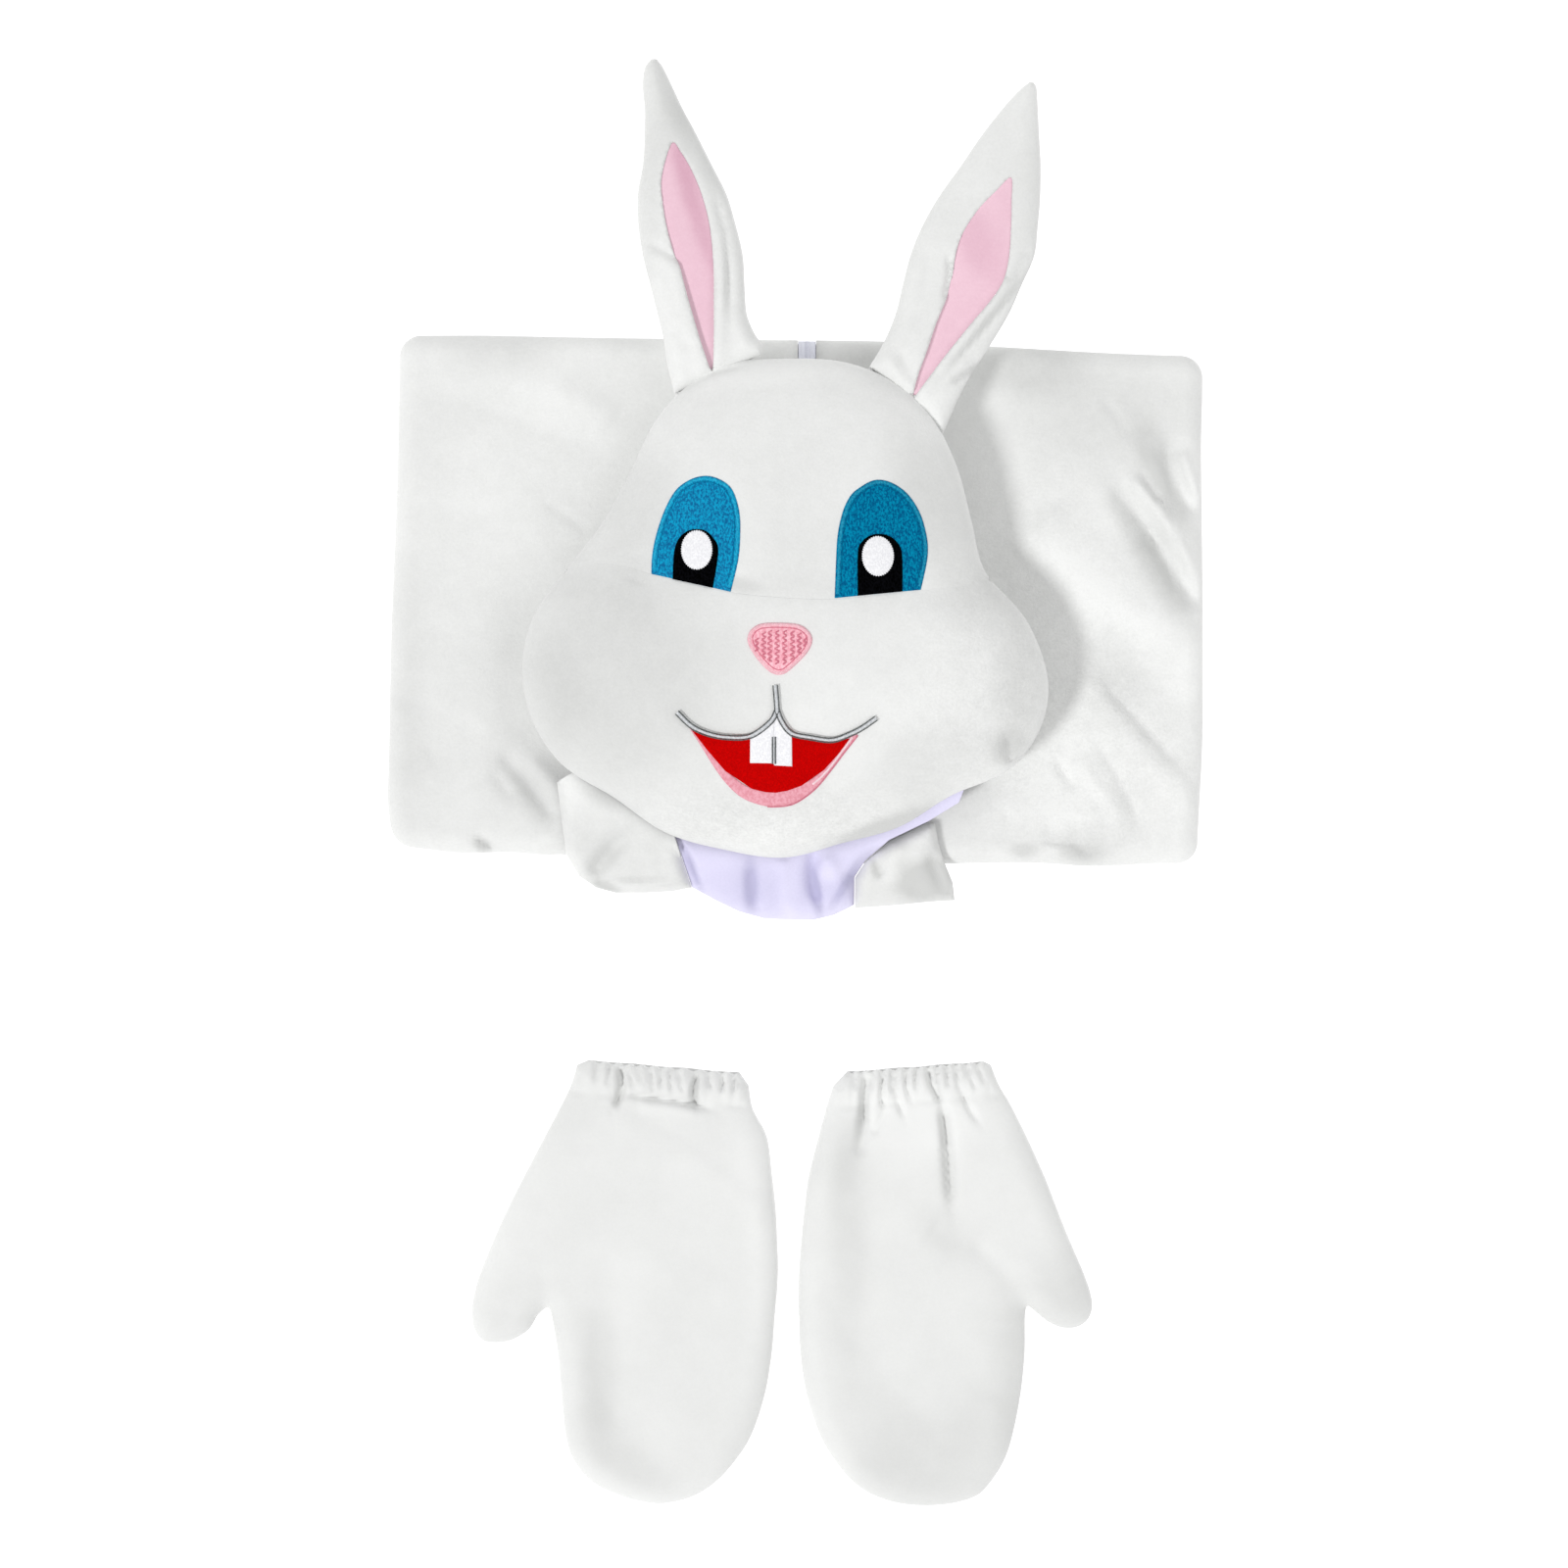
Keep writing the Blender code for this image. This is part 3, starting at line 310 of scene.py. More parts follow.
FRONT_FOLDS = table(8, """
224.7 214.1 230.6 187.6 243.6 162.8 -7.5 7.5  229.4 206.5 236.5 191.1 244.1 173.4 4.5 4
199.3 188.2 219.4 165.8 243.6 122.1 4.4 3.8  188.7 183.4 207 165.8 222.9 141.6 -5.5 6
207 164 229.4 132.7 244.7 106.2 -8 7  207 198.8 214.6 181.7 220.5 173.4 -3.6 5
137.9 173.4 176.3 122.1 241.8 81.4 7 22  184 63.7 207 40.7 241.2 2.9 -2.2 3.2
184 103.8 211.1 74.3 241.8 38.9 -3.6 14  171 71.3 196.3 38.3 237.1 -12.4 3.9 9
178.7 33 196.3 5.3 211.7 -30.1 -4.2 4.6  155.6 20.6 162.7 9.4 168.6 0 -3.8 3
176.3 2.9 188.7 -15.4 199.3 -35.4 -3.4 4  166.8 24.1 184.6 -5.3 198.1 -26 2.7 5
152.1 -36.6 160.9 -27.2 185.1 -46.1 -6 6  122.6 -11.8 130.9 -18.9 137.9 -23.6 -1.8 3
184 236.5 193.4 224.8 201.7 211.2 -1.4 3  222.9 21.2 231.8 3.5 240.6 -20.1 2.4 8
-188.9 256.6 -138.8 238.3 -106.9 217.1 3 10  -233.2 246 -170 224.8 -101.6 198.8 -2.4 12
-152.9 173.4 -137 164 -121.7 151.6 -1.3 2.6  -238.5 169.9 -207.8 168.7 -175.3 164 -1.5 10
-241.4 43.6 -225.5 74.3 -204.3 106.8 -2.2 12  -225.5 17.1 -206.6 27.1 -188.3 43.6 -1.8 9
-181.2 24.1 -159.4 1.1 -144.1 -23 -5.2 6.5  -183.6 11.8 -177.1 3.5 -170 -7.1 -2.1 4
-161.8 21.2 -148.8 9.4 -139.9 -3.6 2.7 6  -193.6 -27.8 -188.9 -31.9 -184.2 -35.4 -6 2.6
-201.9 114.4 -184.2 97.9 -172.4 62.5 1.2 14""")
# Painted shade on the fronts, where folds and the hood's and ear's shadows fall; spots below zero are
# painted light.
FRONT_PAINTED_SHADE = table(6, """
187.5 227.7 62 34 0 .4  143.3 256 34 20 0 .6  215 205 28 11 -60 .35  212 142 48 9 -61 .6
226 125 20 4 -60 .3  224.5 177 30 7 -62 .6  193 115.6 55 15 -38 -.25  155 3.5 42 40 0 -.25
187.5 68.4 20 26 0 .3  137.4 -36.5 9 5 0 .6  172.8 -38 15 8 0 .6  -160.6 .5 18 8 -58 .25
-237 43 14 80 0 .2  -188.5 -34 5 5 0 .7  -177 262 34 10 0 .2""")


def front_folds(x, y):
    soft = 0.4 * lumps(x, y, 60.0, 3) + 0.1 * lumps(x, y, 17.0, 4)
    return (along_creases(x, y, FRONT_FOLDS) + soft) * ease(1.0, 1.15, hood_ratio(x, y))


def pack_left(y):
    worn = 4.2 * ease(-2, -38, y) - 2.4 * np.exp(-((y - 95) / 75)**2)
    return -238.6 - 0.030 * (262 - y) + 1.2 * np.sin(y / 62.0) + worn


def pack_right(y):
    return 245.4 + 0.9 * np.sin(y / 70.0 + 0.5) - 2.6 * ease(40, -45, y) + 1.3 * ease(200, 250, y)


def pack_low(x):
    sag = 4.0 * ease(-198, -240, x) - 2.0 * ease(-175, -150, x) - 2.8 * np.exp(-((x - 182) / 30)**2)
    return -40.5 - 0.014 * x - 1.6 * np.sin(x / 48.0 + 0.6) + sag


def pack_high(x):
    return 272.0 - 0.019 * x + 0.8 * np.sin(x / 90.0) - 5.4 * ease(30, 225, x) - 1.2 * ease(-180, -240, x)


def edge_line(kind, value, lift):
    """Inset from the edge, drop below the top and reach from the corner's middle of a grid line."""
    if kind == "roll":
        turn = math.radians(value)
        radius = EDGE_ROLL + lift
        return (EDGE_ROLL - radius * math.sin(turn), EDGE_ROLL - radius * math.cos(turn),
                CORNER - EDGE_ROLL + EDGE_ROLL * turn)
    if kind == "flat":
        return value, -lift, CORNER - value
    return 0.0, -lift, -1.0


def front_point(column, row, lift):
    (side_x, kind_x, line_x), (side_y, kind_y, line_y) = column, row
    inset_x, drop_x, reach_x = edge_line(kind_x, line_x, lift)
    inset_y, drop_y, reach_y = edge_line(kind_y, line_y, lift)
    if side_x and side_y and reach_x > 0 and reach_y > 0:
        inset, drop_x = (inset_x, drop_x) if reach_x > reach_y else (inset_y, drop_y)
        drop_y = drop_x
        size = math.hypot(reach_x, reach_y)
        inset_x = CORNER - (CORNER - inset) * reach_x / size
        inset_y = CORNER - (CORNER - inset) * reach_y / size
    drop = max(drop_x, drop_y)
    x = 0.0 if side_x else line_x
    y = 0.0 if side_y else line_y
    for _ in range(2):
        if side_x:
            x = pack_left(y) + inset_x if side_x < 0 else pack_right(y) - inset_x
        if side_y:
            y = pack_low(x) + inset_y if side_y < 0 else pack_high(x) - inset_y
    return x, y, PACK_TOP - drop, max(0.0, 1 - (drop + lift) / (EDGE_ROLL + lift))


def front_skin(columns, rows, lift):
    """Grid of points of the fronts' surface, lifted off it by lift."""
    raw = np.array([[front_point(c, r, lift) for c in columns] for r in rows], float)
    folds = front_folds(raw[..., 0], raw[..., 1]) * raw[..., 3]
    return np.stack([raw[..., 0], raw[..., 1], raw[..., 2] + folds], axis=-1)


def grid_quads(rows, columns, around=False):
    span = columns if around else columns - 1
    return [(r * columns + c, r * columns + (c + 1) % columns, (r + 1) * columns + (c + 1) % columns,
             (r + 1) * columns + c) for r in range(rows - 1) for c in range(span)]


def piece(name, points, faces, look):
    """One closed piece from points in millimetres, its faces turned outwards."""
    mesh = bpy.data.meshes.new(name)
    mesh.from_pydata((np.asarray(points, float) * MM).tolist(), [], faces)
    work = bmesh.new()
    work.from_mesh(mesh)
    bmesh.ops.recalc_face_normals(work, faces=work.faces)
    if work.calc_volume(signed=True) < 0:
        bmesh.ops.reverse_faces(work, faces=work.faces)
    work.to_mesh(mesh)
    work.free()
    mesh.shade_smooth()
    mesh.materials.append(look)
    return shown(name, mesh)


def wall(name, outer, inner, faces, look):
    """A sheet with a real thickness between two sets of matching points."""
    outer = np.asarray(outer, float).reshape(-1, 3)
    inner = np.asarray(inner, float).reshape(-1, 3)
    n = len(outer)
    directed = {(face[i], face[(i + 1) % len(face)]) for face in faces for i in range(len(face))}
    rim = sorted((a, b) for a, b in directed if (b, a) not in directed)
    every = list(faces) + [tuple(v + n for v in reversed(face)) for face in faces]
    every += [(b, a, a + n, b + n) for a, b in rim]
    return piece(name, np.concatenate([outer, inner]), every, look)


def belongs(made, node=None):
    """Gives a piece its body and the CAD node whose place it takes."""
    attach(made, "root")
    if node:
        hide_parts(node)


def wrapped(side, steps=10, turn=TUCK_TURN):
    """Grid lines from the lowest of an edge's roll, turn degrees round it, to the flat top."""
    return [(side, "roll", turn - turn * i / steps) for i in range(steps + 1)] + [(side, "flat", FLAT_INSET)]


def plain_lines(start, stop, step):
    """Even grid lines across the flat top."""
    count = max(1, round(abs(stop - start) / step))
    return [(0, "plain", start + (stop - start) * i / count) for i in range(count + 1)]


front_rows = wrapped(1) + plain_lines(245, -17, 2.7) + wrapped(-1)[::-1]
left_columns = wrapped(-1) + plain_lines(-224, -96, 2.7) + plain_lines(-90, ZIP_LEFT - GAP, 9.0)
right_columns = plain_lines(ZIP_RIGHT + GAP, 108, 9.0) + plain_lines(111, 226, 2.4) + wrapped(1)[::-1]
for name, columns, node, cut in (("jumpsuit_front_left", left_columns, "front_left", (0.275, 0.352)),
                                 ("jumpsuit_front_right", right_columns, "front_right", (0.262, 0.350))):
    front = wall(name, front_skin(columns, front_rows, 0.0), front_skin(columns, front_rows, -CLOTH),
                 grid_quads(len(front_rows), len(columns)), PLUSH)
    belongs(front, node)
    paint_shading_and_fluff(front, FRONT_PAINTED_SHADE, ((175, 20, 75, 60, 0, 1.2), (160, 120, 60, 70, 0, 0.6)))


# Folded layers: the jumpsuit's back, sleeves and legs, of the same plush, folded away under the
# fronts. They show as rolled layers at the sides, each with its inset and height from the top down.
PACK_LAYERS = table(2, """
9 25.6  5 24.4  2.6 22.6  1 20.2  .7 17.4  1.6 14.8  4 13.4  8 12.6  4.2 11.8  2.2 10  1.5 7.4  1.9 5
3.6 3.4  7 2.6  4.4 1.9  3.4 1  4.4 0""")


def folded_pack():
    """The hidden layers: a top just under the fronts, and sides of rolled folds one on another."""
    lift = -CLOTH - GAP
    side, low = wrapped(1, 5, 90), wrapped(-1, 5, 90)
    columns = low + plain_lines(-224, 226, 8.0) + side[::-1]
    lines = side + plain_lines(245, -17, 8.0) + low[::-1]
    top = front_skin(columns, lines, lift).reshape(-1, 3)
    nc, nr = len(columns), len(lines)
    faces = grid_quads(nr, nc)
    ring = list(range(nc)) + [r * nc + nc - 1 for r in range(1, nr)]
    ring += [(nr - 1) * nc + c for c in range(nc - 2, -1, -1)] + [r * nc for r in range(nr - 2, 0, -1)]
    base = top[ring]
    middle = (base.max(0) + base.min(0)) / 2
    half = (base.max(0) - base.min(0)) / 2
    points, last = [top], ring
    start = len(top)
    for k, (inset, height) in enumerate(PACK_LAYERS):
        layer = 0 if k < 7 else 1
        waver = 0.7 * lumps(base[:, 0], base[:, 1], 90.0, 20 + layer) * (height > 0.5)
        shrink = (inset - CLOTH - GAP + np.clip(waver, -0.6, 2))[:, None] / half[:2]
        loop = np.column_stack([middle[:2] + (base[:, :2] - middle[:2]) * (1 - shrink),
                                np.full(len(base), height)])
        points.append(loop)
        new = list(range(start, start + len(base)))
        start += len(base)
        faces += [(last[i], last[(i + 1) % len(new)], new[(i + 1) % len(new)], new[i])
                  for i in range(len(new))]
        last = new
    faces.append(tuple(reversed(last)))
    return piece("jumpsuit_pack", np.concatenate(points), faces, PLUSH)


pack = folded_pack()
belongs(pack, "folded_layers")


# Zip: a woven tape down the middle of the jumpsuit with a nylon coil; only its top end shows,
# between the ears.
def tape_finish(place):
    weave = place.noise(0.9, 1.0)
    return weave.tint((0.72, 0.73, 0.82), (0.82, 0.83, 0.91)), weave


TAPE = finish("zip_tape", tape_finish, roughness=0.7, sheen=0.15, bump_mm=0.15)
zip_columns = [(0, "plain", x) for x in np.linspace(ZIP_LEFT, ZIP_RIGHT, 25)]
zip_top = front_skin(zip_columns, front_rows, -0.6)
across = np.abs(np.linspace(-1, 1, 25))
zip_top[..., 2] -= 0.5 * np.exp(-((across - 0.28) / 0.09)**2) + 0.5 * np.exp(-((across - 0.8) / 0.09)**2)
zip_tape = wall("zip", zip_top, front_skin(zip_columns, front_rows, -CLOTH),
                grid_quads(len(front_rows), len(zip_columns)), TAPE)
belongs(zip_tape, "zip_tape")


def unit(vectors):
    return vectors / np.maximum(np.linalg.norm(vectors, axis=-1), 1e-9)[..., None]


def path_frames(path, pitch, closed):
    """Even stations along a path with their direction, for stitches or teeth."""
    path = np.concatenate([path, path[:1]]) if closed else path
    travelled = np.concatenate([[0.0], np.cumsum(np.linalg.norm(np.diff(path, axis=0), axis=1))])
    count = max(2, round(travelled[-1] / pitch))
    at = (np.arange(count) + 0.5) * travelled[-1] / count

    def on_path(where):
        return np.column_stack([np.interp(where, travelled, path[:, k]) for k in range(3)])

    ahead, behind = on_path(np.minimum(at + pitch, travelled[-1])), on_path(np.maximum(at - pitch, 0))
    return on_path(at), unit(ahead - behind)


def stitch_tree():
    """Geometry Nodes that set one bead of thread on every point, turned across its path."""
    tree = bpy.data.node_groups.new("stitches", "GeometryNodeTree")
    for label, way, kind in (("Geometry", "INPUT", "Geometry"), ("Across", "INPUT", "Float"),
                             ("Along", "INPUT", "Float"), ("Height", "INPUT", "Float"),
                             ("Material", "INPUT", "Material"), ("Geometry", "OUTPUT", "Geometry")):
        tree.interface.new_socket(label, in_out=way, socket_type="NodeSocket" + kind)
    inputs = tree.nodes.new("NodeGroupInput").outputs
    spots, across, along, height, look = (Socket(tree, inputs[k]) for k in range(5))
    bead = spots.node("GeometryNodeMeshUVSphere", "Mesh", Segments=8, Rings=5, Radius=0.5)
    size = spots.node("ShaderNodeCombineXYZ", X=along, Y=across, Z=height)
    run, up = (spots.node("GeometryNodeInputNamedAttribute", "Attribute", {"data_type": "FLOAT_VECTOR"},
                          Name=label) for label in ("run", "up"))
    turn = spots.node("FunctionNodeAxesToRotation", "Rotation", {"primary_axis": "Z", "secondary_axis": "X"},
                      Primary_Axis=up, Secondary_Axis=run)
    beads = spots.node("GeometryNodeInstanceOnPoints", Points=spots, Instance=bead, Rotation=turn,
                       Scale=size)
    real = spots.node("GeometryNodeRealizeInstances", Geometry=beads)
    paint = spots.node("GeometryNodeSetMaterial", Geometry=real, Material=look)
    spots.node("NodeGroupOutput", Geometry=paint)
    return tree


STITCHES = stitch_tree()


def stitches(name, spots, along, up, across_mm, along_mm, height_mm, look):
    """Beads of thread at the spots, made a plain mesh."""
    mesh = bpy.data.meshes.new(name + "_spots")
    mesh.from_pydata((np.asarray(spots) * MM).tolist(), [], [])
    for label, vectors in (("run", along), ("up", up)):
        layer = mesh.attributes.new(label, "FLOAT_VECTOR", "POINT")
        layer.data.foreach_set("vector", np.asarray(vectors, np.float32).ravel())
    holder = shown(name + "_spots", mesh)
    tool = holder.modifiers.new("stitches", "NODES")
    tool.node_group = STITCHES
    sizes = {"Across": across_mm * MM, "Along": along_mm * MM, "Height": height_mm * MM, "Material": look}
    for item in STITCHES.interface.items_tree:
        if item.in_out == "INPUT" and item.name in sizes:
            tool[item.identifier] = sizes[item.name]
    bpy.context.view_layer.update()
    real = bpy.data.meshes.new_from_object(holder.evaluated_get(bpy.context.evaluated_depsgraph_get()))
    real.name = name
    real.shade_smooth()
    bpy.data.objects.remove(holder)
    return shown(name, real)


coil_spots, coil_run = path_frames(zip_top[3:48, 12], 1.1, False)
coil = stitches("zip_coil", coil_spots, coil_run, np.cross(coil_run, (1, 0, 0)), 2.4, 0.85, 0.9, TAPE)
belongs(coil)


# Hood: padded plush panels. The upper face and the muzzle meet in a cross seam under the eyes,
# and both are joined to the back in a seam round the widest outline; the neck is open.
HOOD_MID = 76.0
HOOD_FLOOR = PACK_TOP + GAP
CHIN_DROP = 18.0
CROWN_HEIGHT, CROWN_SWELL = 117.0, 6.0
SEAM_DEPTH, SEAM_REACH = 1.3, 12.0
WALL_PLAN, WALL_RISE = 0.966, 0.90
CROSS_SEAM = table(2, """
-150 126  -135 129.5  -115 132.5  -99 130.5  -84 125.9  -58 119.5  -37 115  -7 112  23 111.4  62 115.4
95 119  112 123  125 128""")
HOOD_CREASES = table(8, """
123.8 33 125.2 24 126.5 15 -5.5 3  106 6 117.2 16 124.5 24 -1.4 3  126 26 134 31 143 33 -1.2 3
120 36 128 42 137 46 1 5  -90.1 142 -91.9 130 -95.9 119 -1.3 6  -61 -23 -54 -17 -46 -14 -.8 4
70 -20 76 -12 84 -5 -1.2 4  88 -14 94 -6 103 1 -1.6 3.5  -68 235 -50 246 -28 250.5 -2 1.6
-100 60 -70 20 -30 -5 .6 22  30 70 70 60 105 75 .5 24""")
# Painted shade on the hood: its left side, along the seams and rim and in creases; spots below zero are
# painted light.
HOOD_PAINTED_SHADE = table(6, """
-106 58 66 70 0 .58  -146 58 18 60 0 .15  -92 170 26 36 0 .45  -115.7 123.5 26 20 0 .2
78.5 163.5 46 20 -70 .45  112 108 25 22 0 .3  131 60.6 16 36 0 .48  124.2 25.2 11 11 0 .6
78.5 14.9 34 22 20 .4  52 -23.5 38 7 20 .9  4 158 34 30 0 .15  4 118 32 10 0 .25  -35.8 120 15 5 -12 .5
0 -8 52 16 0 .15  -20 247 70 11 4 -.25  78 222 44 10 -45 -.25""")


def seam_height(degrees):
    turn = np.asarray(degrees, float) % 360
    return HOOD_MID - CHIN_DROP * ease(205, 250, turn) * (1 - ease(285, 328, turn))


def cross_seam_y(x):
    return smooth(*CROSS_SEAM.T, x)


def hood_top(x, y, detail=True):
    """Height of the padded face, with its seams drawn in."""
    ratio = np.minimum(hood_ratio(x, y), 1.0)
    turn = np.arctan2(y - HOOD_Y, x - HOOD_X)
    rim = seam_height(np.degrees(turn))
    crown = CROWN_HEIGHT + CROWN_SWELL * np.exp(-((y - 70) / 42)**2)
    z = rim + (crown - rim) * np.sqrt(np.maximum(1 - ratio**2.7, 0))
    off = y - cross_seam_y(x)
    fade = np.sqrt(np.maximum(1 - ratio**6, 0))
    z -= SEAM_DEPTH * np.exp(-(off / SEAM_REACH)**2) * fade
    if detail:
        gathers = np.sin(x / 2.3 + 1.3 * np.sin(x / 17.0)) * np.exp(-(off / 5)**2)
        z += (0.1 * gathers - 0.3 * np.exp(-(off / 2.4)**2)) * fade
        z += (0.5 * lumps(x, y, 75.0, 8) + 0.15 * lumps(x, y, 24.0, 9)) * fade
        z += 0.3 * np.sin(turn * 120 + 2 * np.sin(turn * 9)) * ease(0.93, 0.98, ratio) * (1 - ratio**24)
        z += along_creases(x, y, HOOD_CREASES)
    return z


def thin_in(points):
    """The inner side of a hood panel: the outer side drawn in to the hood's middle."""
    middle = np.array([HOOD_X, HOOD_Y, HOOD_MID])
    return middle + (points - middle) * (WALL_PLAN, WALL_PLAN, WALL_RISE)


def on_rim(degrees, ratio=1.0):
    radius = hood_radius(degrees) * ratio
    turn = np.radians(degrees)
    return np.stack([HOOD_X + radius * np.cos(turn), HOOD_Y + radius * np.sin(turn)], axis=-1)


def seam_end(start, step):
    """Angle at which the cross seam runs out at the hood's outline."""
    angles = start + step * np.arange(600)
    x, y = on_rim(angles).T
    return angles[np.argmin(np.abs(y - cross_seam_y(x)))]


def hood_panel(name, node, start, stop, columns):
    """A panel between the cross seam and the outline from one angle to another."""
    turns = np.linspace(start, stop, columns)
    rim = on_rim(turns)
    seam_x = rim[0, 0] + (rim[-1, 0] - rim[0, 0]) * np.linspace(0, 1, columns)
    seam = np.column_stack([seam_x, cross_seam_y(seam_x)])
    seam[0], seam[-1] = rim[0], rim[-1]
    blend = np.concatenate([[0, 0.002], np.linspace(0.012, 0.12, 9)[:-1],
                            1 - (1 - np.linspace(0, 1, 40))**1.9 * 0.88])
    plan = seam[None] + (rim - seam)[None] * blend[:, None, None]
    x, y = plan[..., 0], plan[..., 1]
    z = hood_top(x, y)
    z[-1] = seam_height(turns)
    outer = np.stack([x, y, z + GAP / 2], axis=-1)[:, 1:-1]
    inner = thin_in(outer - (0, 0, GAP / 2)) + (0, 0, GAP / 2)
    made = wall(name, outer, inner, grid_quads(*outer.shape[:2]), PLUSH)
    belongs(made, node)
    paint_shading_and_fluff(made, HOOD_PAINTED_SHADE, ((-10, -22, 85, 24, 0, 1.8), (112, 55, 46, 62, 0, 1.0)))


seam_right, seam_left = seam_end(0.0, 0.05), seam_end(180.0, -0.05)
hood_panel("hood_upper_face", "face_upper", seam_right, seam_left, 190)
hood_panel("hood_muzzle", "muzzle", seam_left, seam_right + 360, 240)

back_turns = np.arange(0, 360, 2.0)
back_ratios = np.concatenate([[0.02], np.linspace(0.1, 0.58, 7)[1:],
                              1 - (1 - np.linspace(0, 1, 18)[1:])**1.7 * 0.42])
neck_shut = 1 - ease(194, 214, back_turns) * (1 - ease(319, 338, back_turns))
back_outer = []
for ratio in back_ratios:
    plan = on_rim(back_turns, ratio)
    u = max(0.0, (ratio - 0.58) / 0.42)
    rise = (seam_height(back_turns) - GAP / 2 - HOOD_FLOOR) * (1 - math.sqrt(max(0.0, 1 - u * u)))
    back_outer.append(np.column_stack([plan, HOOD_FLOOR + rise * neck_shut]))
back_outer = np.array(back_outer)
back_inner = thin_in(back_outer + (0, 0, GAP / 2)) - (0, 0, GAP / 2)
rows, cols = back_outer.shape[:2]
back_faces = grid_quads(rows, cols, around=True) + [tuple(reversed(range(cols)))]
hood_back = wall("hood_back", back_outer, back_inner, back_faces, PLUSH)
belongs(hood_back, "head_back")


# Ears: plush over foam, the margins rolled forward over a pink inner ear. The lower margins fold
# over the pink, which narrows to a point at the crown seam.
PINK = plush("pink_plush", (0.86, 0.60, 0.69), (0.66, 0.38, 0.48))


def edge_distance(x, y, outline, closed=True):
    """Distance in plan from points to an outline."""
    a, b = (outline, np.roll(outline, -1, axis=0)) if closed else (outline[:-1], outline[1:])
    run = b - a
    length = np.maximum((run**2).sum(1), 1e-9)
    best = np.full(len(x), 1e9)
    for (ax, ay), (dx, dy), size in zip(a, run, length):
        t = np.clip(((x - ax) * dx + (y - ay) * dy) / size, 0, 1)
        best = np.minimum(best, np.hypot(ax + t * dx - x, ay + t * dy - y))
    return best


def is_inside(x, y, outline):
    found = np.zeros(len(x), bool)
    for (ax, ay), (bx, by) in zip(outline, np.roll(outline, -1, axis=0)):
        if ay != by:
            found ^= ((ay > y) != (by > y)) & (x < (bx - ax) * (y - ay) / (by - ay) + ax)
    return found


def even_outline(corners, step):
    """The outline's own corners with even points between them."""
    out = []
    for a, b in zip(corners, np.roll(corners, -1, axis=0)):
        count = max(1, round(float(np.hypot(*(b - a))) / step))
        out += [a + (b - a) * k / count for k in range(count)]
    return np.array(out)


def left_of(run):
    """Unit directions in plan, square to a run and to its left."""
    run = unit(run)
    return np.column_stack([-run[:, 1], run[:, 0]])


def well_inside(points, outline, depth):
    x, y = points.T
    return is_inside(x, y, outline) & (edge_distance(x, y, outline) > depth)


def fill_plan(outline, step, rings=(0.7, 2.0, 4.2), finer=None, cleared=None):
    """Triangles over an outline: rings of points along its edge and an even field inside.

    finer is further points, and cleared tells where they take the field's place.
    """
    normal = left_of(np.roll(outline, -1, axis=0) - np.roll(outline, 1, axis=0))
    kept = []
    for depth in rings:
        for sign in (1, -1):
            ring = outline + normal * depth * sign
            kept.append(ring[well_inside(ring, outline, depth * 0.9)])
    (left, low), (right, high) = outline.min(0), outline.max(0)
    field = np.array([(left + (c + 0.5 * (r % 2)) * step, low + r * step * 0.87)
                      for r in range(int((high - low) / (step * 0.87)) + 1)
                      for c in range(int((right - left) / step) + 2)])
    deep = well_inside(field, outline, rings[-1] + step * 0.55)
    if cleared is not None:
        deep &= ~cleared(*field.T)
    if finer is not None:
        kept.append(finer[well_inside(finer, outline, rings[-1] + 0.5)])
    points = np.concatenate([outline] + kept + [field[deep]])
    edges = [(i, (i + 1) % len(outline)) for i in range(len(outline))]
    made = delaunay_2d_cdt([Vector(p) for p in points.tolist()], edges, [], 1, 1e-4)
    return np.array([tuple(v) for v in made[0]]), [tuple(f) for f in made[2]]


def cloth(name, plan, upper, lower, faces, look):
    """A closed piece of cloth over a plan, from its lower to its upper heights."""
    outer, inner = (np.column_stack([plan, np.broadcast_to(z, len(plan))]) for z in (upper, lower))
    return wall(name, outer, inner, faces, look)


def rounded_off(away, reach):
    """0 at an edge, 1 from reach on, in a quarter circle between."""
    return np.sqrt(1 - (1 - np.minimum(away / reach, 1))**2)


EAR_DROOP, EAR_LENGTH = 6.0, 190.0
EAR_HALF, EAR_EDGE = 10.0, 12.0
# Left and right edge of each ear, then the outline of its pink piece, from the tip down.
EAR_LEFT = table(4, """
-86 434.4 -82.8 434.4  -90 429 -79.2 429.6  -91.2 418 -73.8 418.6  -90 405 -67.5 405  -90 391 -60 391
-91 372 -50.5 372  -94 354 -41.5 354  -93.8 336 -36 336  -91 317 -31.6 317  -86.2 298 -30.5 298
-82.2 282 -29.2 282  -78.6 267 -24.3 270  -76.3 252 -20.4 264.6  -72.2 234.8 -20.4 258""")
EAR_RIGHT = table(4, """
138.6 420.8 141.2 420.6  133.2 416.4 143 417.2  123.5 406 143.7 406.6  109.5 388 144.5 388
98 371 145.3 372  84.5 352 145 352  74.5 334 143.5 334  67.7 317 141.4 317  63.3 300 134 300
59.5 284 126 282  55 272 114 262  49.7 261 99 238  43.3 250.8 86.8 210.7""")
PINK_LEFT = table(2, """
-73 383.2  -77.4 372.4  -80 358.3  -78.2 341.6  -75.6 328.8  -72.3 317.2  -68.9 309.4  -65.3 295.4
-60.2 277.4  -55.1 260.7  -50.7 248.6  -49.2 249.2  -48.6 267.1  -48.6 285.1  -48.6 300.5  -49.4 318.5
-51.7 336.5  -55.8 351.9  -61.5 366  -67.9 377""")
PINK_RIGHT = table(2, """
127.2 362.6  127.5 349.3  127.2 333.9  126 315.9  122.9 301.8  115.7 290.2  102.8 274.8  87.4 255.6
75.9 240.2  70 232.6  69.5 235.8  72.5 246.6  77.2 259.4  82.8 276.1  88.7 290.2  91.3 300.5  92.6 305.6
94.4 317.2  97.7 327.5  102.8 336.5  109.3 345.4  118.3 354.4""")
